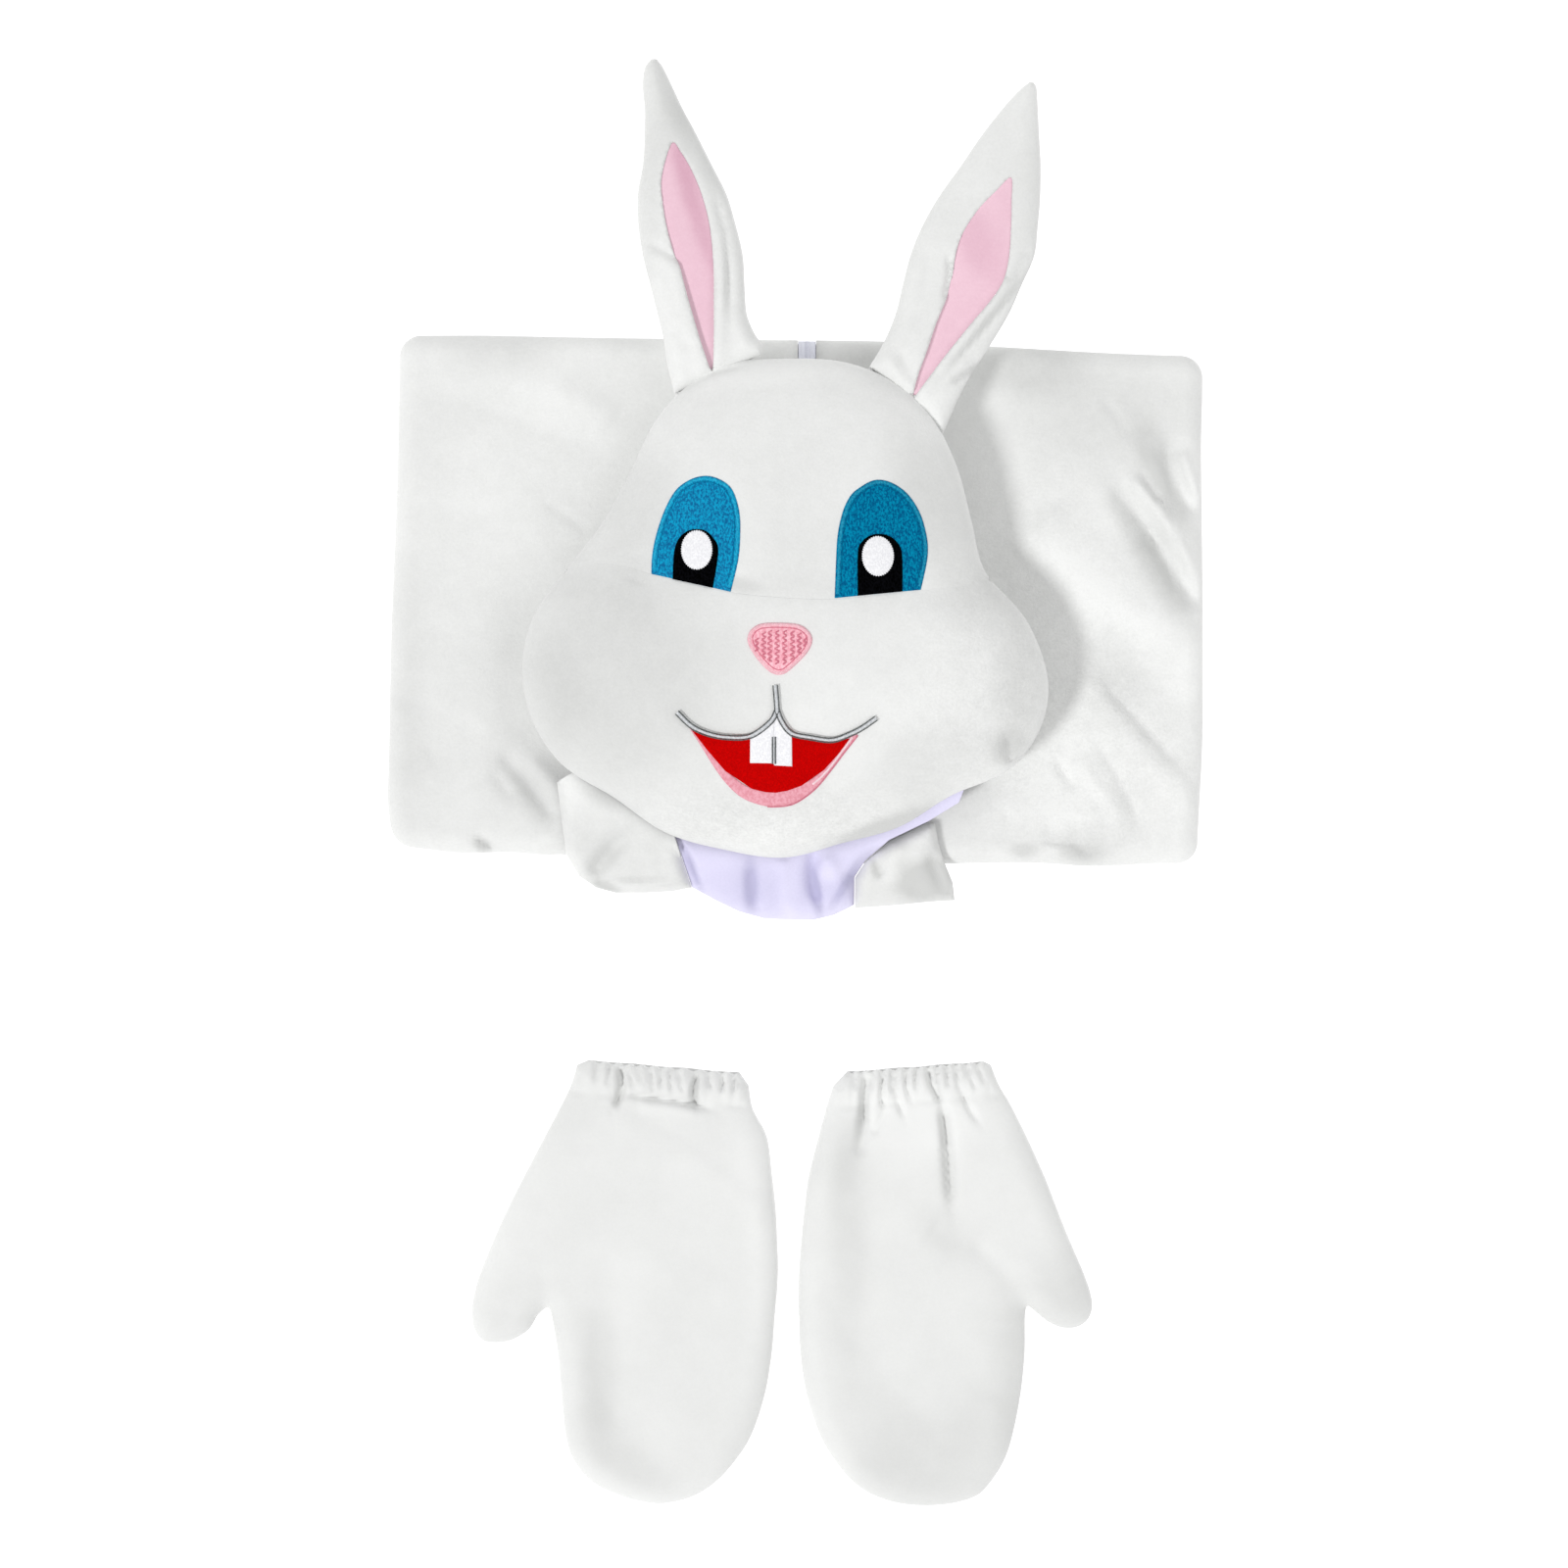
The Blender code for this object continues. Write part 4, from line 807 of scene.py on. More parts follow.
EAR_CREASES = table(8, """
-94.5 324.5 -79.5 319.5 -67.5 310.3 -1.7 2  -92.5 317.5 -79.5 313 -69.5 304 .9 3.2
-49.2 355.7 -41 318 -38.9 269.7 -3.1 2.4  -45 336.5 -43.4 310.8 -44.8 280 2.2 2.4
-74.3 276.1 -67.9 267.1 -58.6 257.9 -.9 3  -36 290 -33 275 -27 262 1 4
90 317.9 90.5 304.4 86.9 288.2 -4.3 1.9  76.6 323.6 77.2 300.5 66.9 267.1 -1.6 6
140.9 322.3 131.5 309 123.5 299.5 -4 1.7  138.1 310 117.3 280.3 83.7 244.2 -4.6 2.3
123.7 273.9 112.5 261.9 98.1 250.7 -3.4 2.2  112.5 253.8 102.9 247.4 90 239.4 -4 2.2
128 296 105 269 84 243 1.8 2  60 262 66 250 68 240 -1.6 3  52 262 58 246 66 236 1.6 4""")
# Painted shade on the ears' plush, along their margins and creases.
EAR_PAINTED_SHADE = table(6, """
-80 402 46 16 100 .35  -44 335 40 8 105 .2  -88 345 46 7 90 .25  -62 382 36 7 118 .3
110 330 90 45 60 .2  112 276 38 2.4 50.4 .5  102 247.5 13 2.4 32 .6""")
# Painted shade on the pink pieces, along the edges that the margins overhang.
PINK_PAINTED_SHADE = table(6, """
-60 345 44 6 -73 .6  108 322 24 13 -60 .35  -66 372 14 8 -70 .2""")


def curve(line, at):
    """Points of a smooth line through the places, at their numbers and between."""
    keys = np.arange(len(line), dtype=float)
    return np.column_stack([smooth(keys, line[:, 0], at), smooth(keys, line[:, 1], at)])


def smooth_path(line, steps=12):
    return curve(line, np.linspace(0, len(line) - 1, steps * len(line)))


def rounded(corners, steps):
    """A smooth closed line through the corners."""
    ring = np.concatenate([corners[-3:], corners, corners[:3]])
    return curve(ring, 3 + np.arange(len(corners) * steps) / steps)


def outwards(outline, reach=1):
    """Unit directions in plan out of a closed outline."""
    out = -left_of(np.roll(outline, -reach, axis=0) - np.roll(outline, reach, axis=0))
    return out * np.sign(((outline - outline.mean(0)) * out).sum(1).mean())


def ear(side, rows, pink):
    """A flat stuffed ear with a bed for the pink piece; its lower margins roll over the pink."""
    left, right = smooth_path(rows[:, :2], 5), smooth_path(rows[:, 2:], 5)
    turns = [math.degrees(math.atan2(y - HOOD_Y, x - HOOD_X)) for x, y in (left[-1], right[-1])]
    base = on_rim(np.linspace(*turns, 14), 0.972)
    sides = even_outline(np.concatenate([left[::-1], right]), 1.6)[:-1]
    outline = np.concatenate([sides, base[::-1]])
    edge = even_outline(rounded(pink, 4), 1.3)
    ledge = np.concatenate([edge + outwards(edge) * 0.4, edge - outwards(edge) * 0.25])

    def place(x, y):
        """Middle height, half thickness, depth of the bed and rise of the roll, in plan."""
        away, turn = from_hood(x, y)
        middle = HOOD_MID - EAR_DROOP * (np.maximum(0, away - hood_radius(turn)) / EAR_LENGTH)**1.3
        half = EAR_HALF * rounded_off(edge_distance(x, y, sides, closed=False), EAR_EDGE)
        roll = 1.8 * ease(335, 290, y) * np.exp(-((edge_distance(x, y, edge) - 3.5) / 4)**2)
        return middle, half, 1.6 + 1.9 * ease(330, 285, y), roll

    plan, faces = fill_plan(outline, 2.1, (0.6, 1.8, 3.8), ledge)
    x, y = plan.T
    middle, half, bed, roll = place(x, y)
    bedded = is_inside(x, y, edge)
    soft = along_creases(x, y, EAR_CREASES) * np.minimum(half / EAR_HALF, 1)
    top = middle + half + (soft + roll * half / EAR_HALF) * ~bedded - (bed + 0.9) * bedded
    shell = cloth("ear_plush_" + side, plan, np.maximum(top, middle), middle - half - 0.01, faces, PLUSH)
    belongs(shell, "ear_" + side)

    plan, faces = fill_plan(edge, 2.4, (0.6, 1.8))
    x, y = plan.T
    middle, half, bed, roll = place(x, y)
    low = middle + half - bed
    top = low + 0.5 * np.minimum(edge_distance(x, y, edge) / 5, 1) + 0.15 * lumps(x, y, 26.0, 6)
    inner = cloth("ear_pink_" + side, plan, top, low - 0.85, faces, PINK)
    belongs(inner, "inner_ear_" + side)
    for made, spots in ((shell, EAR_PAINTED_SHADE), (inner, PINK_PAINTED_SHADE)):
        paint_shading_and_fluff(made, spots)


ear("left", EAR_LEFT, PINK_LEFT)
ear("right", EAR_RIGHT, PINK_RIGHT)


# Neck: the hood's smooth lining shows below the chin, with a plush flap each side of it. All three
# hang over the pack's edge.
def lining(place):
    weave = place.noise(1.4, 1.0)
    # The painted_shading attribute darkens the lining as painted shade in its folds.
    shade = weave * 0.2 + place.noise(30.0, 2.0) * 0.3 + 0.5 - place.given("painted_shading")
    return shade.tint((0.50, 0.48, 0.68), (0.82, 0.79, 0.99)), weave


NECK_EDGE_Y, NECK_HANG, NECK_LOFT = -37.0, 21.0, 6.0
LINING = finish("lilac_lining", lining, roughness=0.55, sheen=0.2, bump_mm=0.08, specular=0.35)


NECK_LINING = table(2, """
-67.2 -45  -62.7 -58.8  -48.8 -66.6  -34.5 -73.7  -19.1 -78  -4 -78.8  11 -78.8  22.5 -76.1  30.5 -72.2
35.2 -69.5  35.2 -52.6  41.6 -42.6  55.6 -30  79.2 -18.6  97 -7.6""")
FLAP_LEFT = table(2, """
-143 4.5  -141.5 -14  -138.2 -38.5  -130.5 -52  -120.5 -59  -108.7 -62.2  -90.3 -62.2  -74 -61.2
-63 -58.9  -67.5 -45""")
FLAP_RIGHT = table(2, """
79.6 -19.2  56.1 -30.6  42.2 -43  35.7 -53  35.8 -71.6  50 -70.6  64 -69.5  80 -67.8  96 -66.8  94.5 -56
89 -43  85.5 -32  83.6 -20.5""")
NECK_FOLDS = table(8, """
-27.8 -43.6 -26 -58.3 -23.7 -73 -4 4.5  -9 -38.9 -7.2 -55.4 -4.3 -76.6 2.6 5
14 -36.5 8.7 -50.7 15.2 -70.7 -9 3.2  18.1 -38.9 22.2 -49.5 31.7 -64.2 3.5 5
47.6 -43.6 49.3 -48.3 51.7 -52.4 -4.5 3.2  60.5 -30.6 58.7 -43.6 53.4 -60.1 2.2 6
79.9 -36.5 85.8 -50.7 94.1 -67.2 -8 4.5  66.4 -60.1 78.2 -62.4 89.9 -66 -2 5
-122.6 -52.4 -113.2 -38.9 -98.5 -24.8 -7 5.5  -141.4 0 -119.1 -9.5 -92.6 -21.2 2.8 7
-112 -55.4 -89.6 -56.6 -64.9 -57.7 2.4 2.2  -117.9 -60.1 -113.2 -62.4 -106.1 -61.9 -4 2.2
-70.5 -30 -64 -43 -58.5 -57 -3.5 1.2  -92.6 -31.8 -86.7 -43.6 -82.6 -53 1.5 6
-117 -54.5 -95 -53.5 -66 -55 -2.5 1.3  -121 -54 -115 -58 -107 -60 -6 2.4""")
# Painted shade on the lining and flaps, in their folds and under the chin; spots below zero are painted
# light.
NECK_PAINTED_SHADE = table(6, """
-105 -35 36 20 -20 .25  -117 -2.5 15 7 -38 .5  75.2 -55.4 16 13 0 1  86.5 -52 17 5 -65 .6
-118 -45 15 8 50 .4  -62.5 -47 15 2.2 -68 .7  -114 -58.5 9 3.5 -20 .8  11.5 -60 18 3.4 -80 .8
-27.3 -57 18 4.5 90 .6  -8 -58 60 16 0 .3  -4 -60 20 6 90 -.25  29.5 -57 15 3 60 .6  22 -50 9 5 20 -.25
58.5 -52 6 5 0 -.25  47.5 -47 6 2.4 -70 .7""")


def neck_piece(name, node, corners, rim_turns, thick, puff, tuck, look):
    """A cloth that hangs over the pack's edge; tuck is how far it rises to its seam at the hood."""
    if rim_turns:
        corners = np.concatenate([corners, on_rim(np.linspace(*rim_turns, 24), 0.985)[::-1]])
    outline = even_outline(corners, 2.2)
    plan, faces = fill_plan(outline, 2.6)
    x, y = plan.T
    from_rim, turn = from_hood(x, y)
    from_rim = from_rim - hood_radius(turn)
    away = np.minimum(edge_distance(x, y, outline) / 10, 1)
    away = np.maximum(away, tuck * ease(12, 2, from_rim))
    relief = along_creases(x, y, NECK_FOLDS) + 0.3 * lumps(x, y, 22.0, 5)
    low = HOOD_FLOOR - NECK_HANG * np.maximum(0.0, (NECK_EDGE_Y - y) / 42)**1.35
    low += np.maximum(NECK_LOFT + relief, 0) * np.minimum(away * 2, 1)
    low += tuck * (seam_height(turn) - HOOD_FLOOR - 15) * ease(26, 1, from_rim)
    made = cloth(name, plan, low + thick + puff * rounded_off(away, 1), low, faces, look)
    belongs(made, node)
    paint_shading_and_fluff(made, NECK_PAINTED_SHADE)


neck_piece("neck_lining_cloth", "neck_lining", NECK_LINING, (241.7, 319), 2.6, 0.4, 1, LINING)
neck_piece("neck_flap_plush_left", "neck_flap_left", FLAP_LEFT, (214.5, 241.6), 4, 3, 1, PLUSH)
neck_piece("neck_flap_plush_right", "neck_flap_right", FLAP_RIGHT, None, 4, 3, 0, PLUSH)


# Eyes: three layers of satin applique sewn on one another, blue, black and a white glint. Close
# satin stitches border the blue and the glint, with a dark line inside the blue one. The blue border's
# paler colour is painted sheen, and the right eye's blues are painted darker as shade.
def satin(name, bright, dark, size=0.9, rough=0.5, specular=0.2):
    """Thread that lies in short stitches; its colour is painted in bright and dark specks as painted glints
    of the stitches.
    """
    def make(place):
        place = place.node("ShaderNodeMapping", Vector=place, Scale=(1, 0.6, 1), Rotation=(0, 0, 0.35))
        threads = place.noise(size, 2.0, 0.7).between(0.38, 0.62)
        return threads.tint(dark, bright), threads
    return finish(name, make, rough, bump_mm=0.1, specular=specular)


def blues(side, painted_dim):
    """An eye's satin, its border painted paler as sheen, and the dark line inside that; painted_dim darkens
    the colours as painted shade.
    """
    def thread(name, green, blue, dark_green, dark_blue, red=0.0, **rest):
        return satin(f"{name}_{side}", (red, green * painted_dim, blue * painted_dim),
                     (0.0, dark_green * painted_dim, dark_blue * painted_dim), **rest)
    return (thread("blue_satin", 0.33, 0.58, 0.12, 0.30, size=1.1, specular=0.02 if painted_dim < 1 else 0.1),
            thread("blue_border_painted_sheen", 0.46, 0.70, 0.29, 0.50, red=0.02, specular=0.15),
            thread("dark_blue_thread", 0.18, 0.35, 0.12, 0.26, rough=0.6, specular=0.05))


BLACK = satin("black_satin", (0.003, 0.003, 0.004), (0.0005, 0.0005, 0.0005), rough=0.8, specular=0.0)
WHITE = satin("white_satin", (0.92, 0.92, 0.94), (0.80, 0.80, 0.83))


def hood_normal(x, y, step=0.8):
    dx = (hood_top(x + step, y, False) - hood_top(x - step, y, False)) / (2 * step)
    dy = (hood_top(x, y + step, False) - hood_top(x, y - step, False)) / (2 * step)
    return unit(np.stack([-dx, -dy, np.ones_like(dx)], axis=-1))


def lifted(x, y, height):
    """Points of the face moved out along its normal."""
    surface = np.stack([x, y, hood_top(x, y)], axis=-1)
    return surface + hood_normal(x, y) * np.broadcast_to(height, len(x))[:, None]


def outline_of(sides):
    return np.concatenate([sides[:, :2], sides[::-1, 2:]])


def between(a, b, c, d, steps):
    """Even points of a smooth line from b to before c; a comes before them and d after."""
    t = (np.arange(steps) / steps)[:, None]
    return 0.5 * (2 * b + (c - a) * t + (2 * a - 5 * b + 4 * c - d) * t * t + (3 * b - a - 3 * c + d) * t**3)


def softened(sides, flat_foot=False):
    """A smooth outline through a shape's edges; a flat foot keeps its two corners sharp."""
    corners, n = outline_of(sides), 2 * len(sides)
    sharp = (len(sides) - 1, len(sides)) if flat_foot else ()
    out = []
    for i in range(n):
        a, b, c, d = (corners[(i + k) % n] for k in (-1, 0, 1, 2))
        out.append(between(b if i in sharp else a, b, c, c if (i + 1) % n in sharp else d, 4))
    return np.concatenate(out)


def drawn_in(outline, inset):
    """The outline of a shape moved inwards, with even points."""
    line = even_outline(outline, 1.0)
    return line - outwards(line, 3) * inset


def applique(name, node, outline, base, thick, look, crown=0.0):
    """One satin shape that follows the face, its edge rounded down."""
    outline = even_outline(outline, 1.3)
    plan, faces = fill_plan(outline, 2.4, (0.5, 1.3))
    x, y = plan.T
    away = edge_distance(x, y, outline)
    upper = base + thick * (0.45 + 0.55 * rounded_off(away, 1.4)) + crown * np.minimum(away / 10, 1)
    belongs(wall(name, lifted(x, y, upper), lifted(x, y, base), faces, look), node)


def border(name, outline, lift, across, look, closed=True, pitch=0.75, height=1.0):
    """A close row of satin stitches along an outline on the face."""
    path = even_outline(outline, 1.0) if closed else outline
    stations, run = path_frames(lifted(*path.T, lift), pitch, closed)
    up = hood_normal(stations[:, 0], stations[:, 1])
    belongs(stitches(name, stations, run, up, across, pitch * 1.25, height, look))


# The left and right edge of each shape from the top down, here and for the nose and mouth.
EYE_LEFT = table(4, """
-57 183 -49.4 183  -64.6 180 -41.6 179.5  -71 174.5 -36.8 174  -76.8 164 -33.4 163  -81.6 150 -32.7 150
-84.2 137 -33.9 134  -84.6 126.2 -38.3 115.4""")
EYE_RIGHT = table(4, """
45 180.8 53 180.5  37 176.5 61 176.5  31.5 171.5 67.5 170  27 162 73 160  24 148 76.5 146
23 130 76.3 134  22.3 111.7 72.6 116.9""")
PUPIL_LEFT = table(4, """
-62 151.5 -54 151.5  -68 147 -48.5 147  -71 139 -45.4 139  -72 122.8 -48.6 117.6""")
PUPIL_RIGHT = table(4, """
44.5 148.8 52.5 148.6  38.5 145 58.5 144.5  35.7 138 61.4 137  35.7 113 61.6 115.6""")
for side, eye_rows, pupil_rows, glint in (("left", EYE_LEFT, PUPIL_LEFT, (-57.7, 139.8, 8.6, 11.0)),
                                          ("right", EYE_RIGHT, PUPIL_RIGHT, (47.2, 136.2, 8.8, 11.2))):
    eye_edge = softened(eye_rows, flat_foot=True)
    # The right eye's colours are dimmed to 0.74 as painted shade.
    satin_blue, sheen_blue, dark_blue = blues(side, 1.0 if side == "left" else 0.74)
    applique("eye_satin_" + side, "eye_" + side, eye_edge, 0.1, 0.8, satin_blue)
    foot = eye_rows[-1].reshape(2, 2)
    for part, inset, width, look in (("border", 1.6, 2.2, sheen_blue), ("line", 3.3, 0.8, dark_blue)):
        line = drawn_in(eye_edge, inset)
        line = np.roll(line, -np.argmin(np.hypot(*(line - foot.mean(0)).T)), axis=0)
        line = line[edge_distance(*line.T, foot, closed=False) > inset + 0.3]
        border(f"eye_{part}_{side}", line, 0.75, width, look, closed=False, height=0.6)
    applique("pupil_satin_" + side, "pupil_" + side, softened(pupil_rows, flat_foot=True), 0.9, 0.9, BLACK)
    turns = np.linspace(0, math.tau, 48, endpoint=False)
    round_edge = np.column_stack([glint[0] + glint[2] * np.cos(turns), glint[1] + glint[3] * np.sin(turns)])
    applique("glint_satin_" + side, "glint_" + side, round_edge, 1.8, 0.9, WHITE, 0.4)
    border("glint_border_" + side, drawn_in(round_edge, 0.5), 2.3, 2.4, WHITE,
           pitch=1.3, height=0.8)


# Nose: one lightly padded piece of rose satin, with a pale satin-stitched border, a ring of deep
# rose thread and zigzag rows of stitches across it.
ROSE = satin("rose_satin", (0.97, 0.56, 0.63), (0.87, 0.37, 0.45), 1.6)
LIGHT_ROSE = satin("light_rose_thread", (0.92, 0.60, 0.66), (0.86, 0.50, 0.56))
DEEP_ROSE = satin("deep_rose_thread", (0.74, 0.24, 0.31), (0.62, 0.16, 0.24))
NOSE = table(4, """
-18 97 -1 96.6  -25.5 94 6.2 93.2  -28.4 88 9.2 87.2  -26 81 6.4 80  -19.6 72.5 -1.2 72
-13.4 67.6 -7.4 67.4""")
nose_edge = softened(NOSE)
applique("nose_satin", "nose", nose_edge, 0.1, 1.0, ROSE, 0.6)
border("nose_border", drawn_in(nose_edge, 1.2), 1.0, 2.2, LIGHT_ROSE, height=0.9)
border("nose_ring", drawn_in(nose_edge, 2.9), 1.3, 0.7, DEEP_ROSE, height=0.6)
for row, (at, top, low) in enumerate(table(3, """
-23 88 80  -19 91.5 75.5  -15.4 92.5 73  -11.2 92.5 72  -6.8 92.5 72  -2.4 92 74  1.6 91 77.5
5 88 82""")):
    turns = np.arange(0, top - low, 1.5)
    zigzag = np.column_stack([at + 1.1 * (-1)**np.arange(len(turns)), top - turns])
    border(f"nose_zigzag_{row}", zigzag, 1.75, 1.1, DEEP_ROSE, closed=False,
           pitch=1.4, height=0.4)


# Mouth: red satin over a pale rose lip, with two white satin teeth. Its lines are two rows of grey
# thread with silver between, stitched through all the layers into the plush.
PALE_ROSE = satin("pale_rose_satin", (0.81, 0.39, 0.46), (0.72, 0.28, 0.34), 1.4)
RED = satin("red_satin", (0.58, 0.0, 0.0), (0.44, 0.0, 0.0), rough=0.7, specular=0.02)
SILVER = satin("silver_thread", (0.74, 0.76, 0.78), (0.56, 0.58, 0.61))
BLUSH = satin("blush_thread", (0.92, 0.76, 0.79), (0.88, 0.66, 0.70))
GREY = satin("grey_thread", (0.15, 0.16, 0.16), (0.08, 0.09, 0.09), rough=0.6, specular=0.1)
MOUTH = table(4, """
-60.3 35 -60.1 34.2  -51 33 -52 23.6  -41.5 32 -41.5 11.4  -26.5 32.5 -26 1  -18 38 -18 -1
-11.8 44 -11.8 -1.3  -5 37 -5 -.1  2 31.5 3 2.8  16.2 29 16.2 12  24 28.6 24.5 21.2  30.5 30.2 31 30""")
LIP = table(4, """
-61 35.2 -61.8 35.4  -52.3 24.9 -55 24.8  -45.4 16.4 -47.6 12.8  -37.3 8.3 -40.4 3.2
-29.5 2.7 -32.1 -4.2  -20.6 -.1 -21.7 -8.5  -10.3 -.7 -12.6 -9.6  1 2.7 -1.1 -7.7  10 7.3 10.8 .6
18 14.7 20.7 12.3  24.8 22.6 28.1 22.1  30.6 31 35.8 31.9""")
TOOTH_LEFT = table(4, """
-13.6 44 -13 44.6  -18.6 38.6 -13 40  -26.9 32.4 -13 34  -27 16.2 -13 16""")
TOOTH_RIGHT = table(4, """
-13 44.6 -12 45.2  -13 40 -7.6 39.4  -13 34 -2.7 33.6  -13 14.8 -2.5 14.2""")
applique("mouth_satin", "mouth", outline_of(MOUTH), 0.5, 0.7, RED)
applique("lip_satin", "lip", softened(LIP), 0.1, 0.7, PALE_ROSE)
applique("tooth_satin_left", "tooth_left", outline_of(TOOTH_LEFT), 1.1, 0.7, WHITE)
applique("tooth_satin_right", "tooth_right", outline_of(TOOTH_RIGHT), 1.1, 0.7, WHITE)
lip_edge = smooth_path(LIP[:, 2:])
border("lip_line", lip_edge[len(lip_edge) // 2:], 0.8, 0.8, DEEP_ROSE, closed=False,
       height=0.5)
lip_middle = smooth_path(table(2, "9.5 3.6  14.8 8.2  19.6 13.4  26.2 22.2  32.6 31"))
border("lip_pale", lip_middle, 0.75, 1.5, BLUSH, closed=False, height=0.5)

MOUTH_LINES = (
    table(2, "-12.3 61.1  -11.6 53  -11.2 46.9"),
    table(2, "-11.2 46.9  -15.2 40  -26.6 32  -39.7 31.2  -51.1 33.2  -60.8 37.7  -69.4 45.7"),
    table(2, "-11.2 46.9  -8.3 40  -2.6 33.4  8.5 31  20.6 29.6  30 32.6  38 36.6  46.4 42.4"))
for number, line in enumerate(MOUTH_LINES):
    path = smooth_path(line)
    sideways = left_of(np.gradient(path, axis=0))
    for part, offset, look, width, lift in (("above", 1.3, GREY, 0.9, 2), ("below", -1.3, GREY, 0.9, 2),
                                            ("between", 0, SILVER, 1.9, 1.9)):
        border(f"mouth_line_{number}_{part}", path + sideways * offset, lift, width, look,
               closed=False, pitch=0.7, height=0.6)
tooth_line = np.column_stack([np.full(14, -13.0), np.linspace(31.5, 15.8, 14)])
for part, offset, look in (("left", -0.9, GREY), ("right", 0.9, GREY), ("middle", 0.0, SILVER)):
    border("tooth_line_" + part, tooth_line + (offset, 0), 2.0, 0.9, look, closed=False,
           pitch=0.8, height=0.6)


# Mittens: a plush palm and back sewn edge to edge, lying flat. An elastic in the wrist hem gathers
# the back into small pleats.
PALM_THICK = 7.0
BACK_PUFF = 11.0
# The y, left and right edge, in 8 rows of the wrist, 4 of the thumb and 8 of the hand.
MITTEN_LEFT = table(3, """
-168 -133.5 -29.6  -181 -137.5 -28.6  -195 -144.4 -26.2  -212 -153.4 -17.6  -236 -165.9 -14.4
-254 -175 -12.4  -272 -183.3 -11.4  -296 -192.9 -10.8
-310 -196.6 -153.6  -320 -197.6 -157  -330 -195.6 -163.6  -336.5 -189.5 -176
-324 -148.3 -13  -344 -145.2 -14.6  -368 -143 -18.6  -392 -140.6 -26.4  -408 -136 -36  -422 -124.5 -48.5
-431 -106 -62.5  -435 -89 -78""")
MITTEN_RIGHT = table(3, """
-168 26.6 119  -181 22.8 124.4  -192 19.2 131  -212 13.8 141  -236 7.8 151.8  -254 5.4 158.8
-272 3.6 165.9  -296 1.8 176.1
-309 142.4 180.2  -317 144.6 180.6  -324 153 177.4  -328 162 170.6
-322 1.8 139.8  -344 2.8 139.6  -368 6.3 137.2  -392 14 132.6  -408 23 127.5  -422 34.7 119
-431 49 109.6  -436 68 91""")
MITTEN_FOLDS = table(8, """
-120.8 -165.1 -121.3 -170.7 -122.6 -178.6 -2.4 1.2  -114.5 -165.5 -113.6 -173 -115.9 -180.8 -2.7 1.3
-109.1 -167.3 -105.5 -180.4 -112.3 -194.8 -6.9 2  -101.2 -168.5 -101 -174.1 -98.3 -183.1 -3.4 1.2
-94.5 -169.1 -94.7 -174.1 -94.3 -179.7 -2.7 1  -88.4 -169.6 -87.5 -176.3 -87.1 -185.3 -3.2 1.1
-82.3 -169.6 -81.9 -175.2 -82.6 -182 -3.2 1.1  -77.4 -170.5 -76.7 -176.3 -75.4 -185.3 -2.7 1.1
-70.9 -170.9 -70.4 -176.3 -68.2 -185.3 -2.9 1.1  -57.8 -171.8 -62.3 -183.1 -60.1 -193 -6.6 1.9
-52 -172.3 -52.9 -177.5 -50.6 -183.1 -2.7 1.2  -44.8 -172.3 -43.9 -178.1 -45.7 -184.2 -4.1 1.3
-38 -173.2 -37.1 -178.6 -38 -185.3 -3.1 1.3  -108 -185 -78.1 -188.5 -47 -195 -4.2 1.5
-98.3 -191.2 -78.1 -193.4 -55.6 -197.9 1.6 3.5  -117.4 -297.8 -119.7 -354.1 -102.8 -394.6 -2.9 13
-107.3 -192.1 -78.1 -205.6 -46.6 -225.8 -.9 7  -60.1 -225.8 -33.1 -248.3 -17.3 -259.6 1.3 9
-155.7 -286.6 -152.3 -304.6 -150.1 -318.1 -1.2 7  35.8 -170.5 36.7 -176.3 36.3 -183.1 -2.7 1.2
43.5 -170.9 42.1 -185.3 41.7 -205.6 -7.5 2.3  42.1 -196.6 40.8 -210.1 37.2 -223.6 -4.2 4
48 -170.5 46.6 -176.3 45.7 -184.2 -3.1 1.1  54.7 -170.5 52 -185.3 54.7 -194.3 -3.7 1.3
54.7 -192.1 51.1 -202.2 45.7 -210.5 -2.4 2.2  59.2 -169.6 57.9 -176.3 58.3 -185.3 -3.2 1.1
63.3 -169.6 61 -183.1 66.9 -202.2 -3.6 1.5  68.7 -169.1 66.9 -178.6 71.8 -193.2 -3.4 1.3
74.5 -168.7 72.7 -175.2 73.6 -183.1 -3.1 1.1  81.3 -167.8 83.1 -179.7 89.4 -191 -6.6 1.9
88.5 -188.7 92.5 -219.1 94.3 -255.1 -8.4 2.8  86.9 -167.8 85.8 -173 86.7 -180.8 -2.9 1
92.1 -167.3 92.5 -174.1 93.4 -182 -3.1 1.1  98.1 -166.9 101.5 -185.3 113.6 -205.6 -3.4 1.8
104.2 -166.9 106.4 -174.1 109.6 -183.1 -3.1 1.2  110.5 -166.9 112.7 -173 115 -179.7 -2.7 1.2
80.1 -264.1 90.3 -270.8 101.5 -277.5 -2.1 14  103.7 -273 121.7 -288.8 134.1 -306.8 -2 7
17.2 -232.6 16 -291 40.8 -342.8 -2.3 14  40.8 -342.8 63.3 -367.5 85.8 -394.5 -2.3 16
112.7 -376.5 126.2 -345 130.7 -322.5 -1.6 14""")
# Painted shade on the mittens, in the wrist pleats and along folds; spots below zero are painted light.
MITTEN_PAINTED_SHADE = table(6, """
-119 -353 48 11 90 .3  -96.5 -413 26 12 -30 .25  -25 -222 32 22 90 -.2  -18 -290 50 12 90 -.2
32 -282 72 12 90 .3  85 -401 52 42 0 .3  90 -270 22 13 -40 .25  39.3 -199 15 3.5 82 .6
90.3 -222 32 2.8 -85 .6  -109 -180 11 2.4 92 .5  -61 -182 11 2.4 88 .5  30 -225 30 8 75 .15
129.6 -353 52 12 90 .25  162.4 -306 30 17 110 .3  70 -199 48 26 0 -.25""")


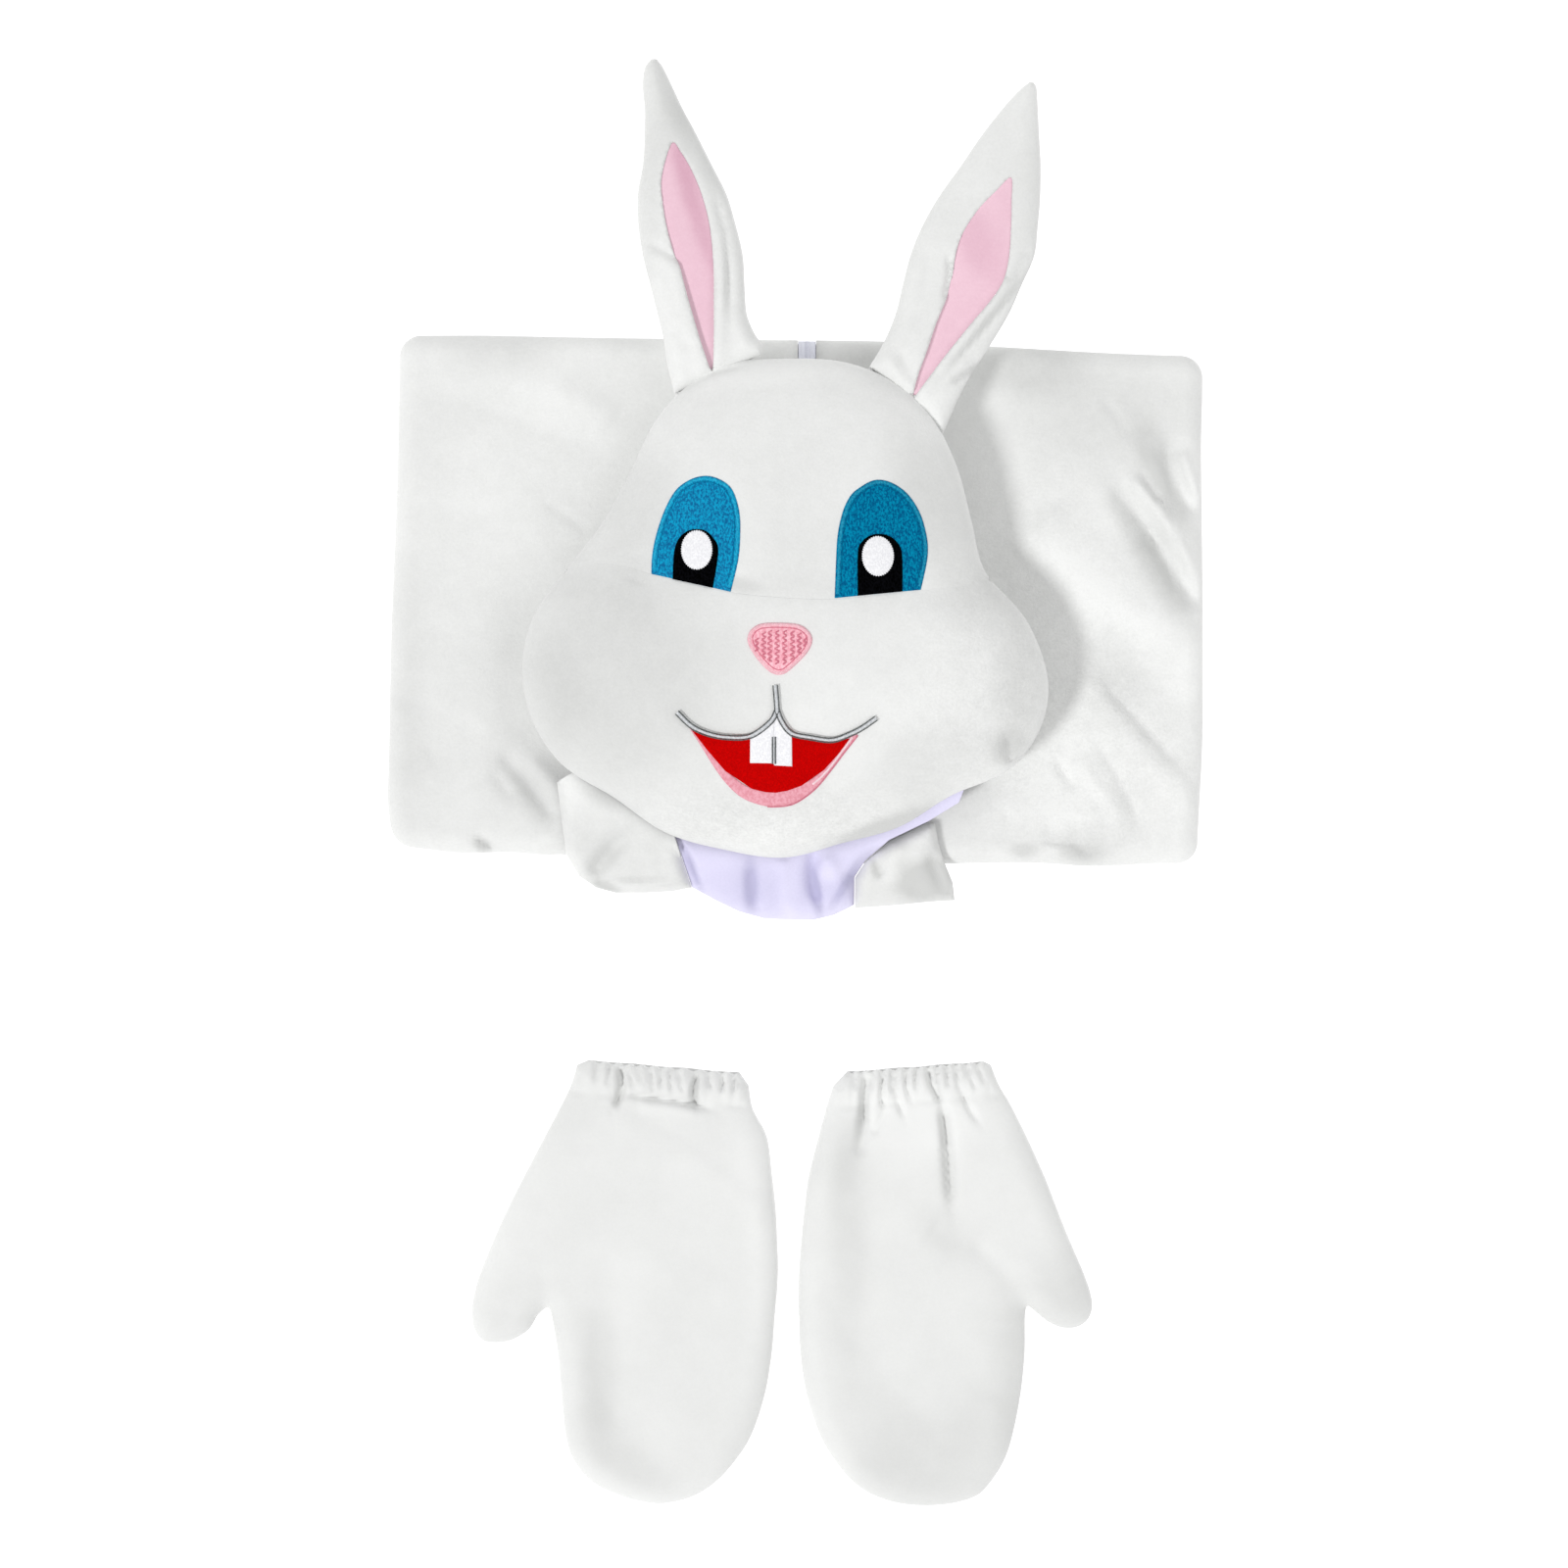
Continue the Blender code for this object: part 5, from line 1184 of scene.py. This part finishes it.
def mitten(side, shape, thumb_left, wrist, gathers, casing):
    """A back that is puffed over a flat palm; casing is how deep the wrist's elastic lies."""
    arm, thumb, hand = np.split(shape, (8, 12))
    near, far = (1, 2) if thumb_left else (2, 1)
    crotch = [((thumb[0, far] + hand[0, near]) / 2, thumb[0, 0] - 6.0)]
    loop = np.concatenate([arm[:, (near, 0)], thumb[:, (near, 0)], thumb[:0:-1, (far, 0)], crotch,
                           hand[:, (near, 0)], hand[::-1, (far, 0)], arm[:0:-1, (far, 0)]])
    ends = np.concatenate([loop[:1], loop, loop[-1:]])
    body = np.concatenate([between(*ends[i - 1:i + 3], 6) for i in range(1, len(ends) - 2)] + [loop[-1:]])
    (ax, ay), (bx, by) = wrist
    t = np.linspace(0, 1, 8 * gathers + 1)
    frill = 0.7 * np.cos(t * math.tau * gathers + 1.4 * np.sin(t * 9))
    hem = np.column_stack([bx + (ax - bx) * t, by + (ay - by) * t + frill])
    outline = np.concatenate([body, hem])

    low_x, high_x = min(ax, bx) - 16, max(ax, bx) + 16
    fine = np.array([(x, y) for y in np.arange(ay - casing - 30, max(ay, by), 1.7)
                     for x in np.arange(low_x, high_x, 1.5)])
    fine[:, 0] += 0.75 * (np.round(fine[:, 1] / 1.7) % 2)
    plan, faces = fill_plan(
        outline, 3.2, (0.6, 1.8, 3.8), fine,
        lambda x, y: (y > ay - casing - 32) & (x > low_x - 1) & (x < high_x + 1))
    x, y = plan.T
    away = edge_distance(x, y, outline)
    across = (x - bx) / (ax - bx)
    depth = by + (ay - by) * across - y
    base = PALM_THICK + GAP
    puff = 1.5 + BACK_PUFF * rounded_off(away, 15) * (0.45 + 0.55 * ease(0, 60, depth))
    wave = np.cos(math.tau * gathers * across + 1.4 * np.sin(across * 9)) * (0.6 + 0.4 * np.sin(across * 31))
    wave = wave * 0.8 * ease(casing + 8, 4, depth)
    stitch = 1.5 * np.exp(-((depth - casing) / 2.0)**2) * (0.6 + 0.4 * np.sin(across * 23 + 1))
    hem_roll = 2.6 * np.exp(-((depth - casing * 0.5) / (casing * 0.42))**2)
    edge_fade = ease(0, 4, away)
    upper = puff + (hem_roll - stitch + wave + along_creases(x, y, MITTEN_FOLDS)) * edge_fade
    upper += (0.5 * lumps(x, y, 70.0, 11) + 0.1 * lumps(x, y, 20.0, 12)) * edge_fade
    back = cloth("mitten_back_" + side, plan, base + np.maximum(upper, 1.0), base, faces, PLUSH)
    belongs(back, f"mitten_{side}_back")

    plain = np.concatenate([body, hem[::8]])
    plan, faces = fill_plan(plain, 6.0, (0.8, 2.4, 5.0))
    under = 4.2 * (1 - np.minimum(edge_distance(*plan.T, plain) / 6.5, 1))**2
    palm = cloth("mitten_palm_" + side, plan, PALM_THICK, under, faces, PLUSH)
    belongs(palm, f"mitten_{side}_palm")
    for made in (back, palm):
        paint_shading_and_fluff(made, MITTEN_PAINTED_SHADE, sleek=0.5)


mitten("left", MITTEN_LEFT, True, ((-126.0, -165.6), (-34.5, -173.2)), 11, 19.0)
mitten("right", MITTEN_RIGHT, False, ((114.5, -166.4), (31.5, -172.6)), 13, 20.0)
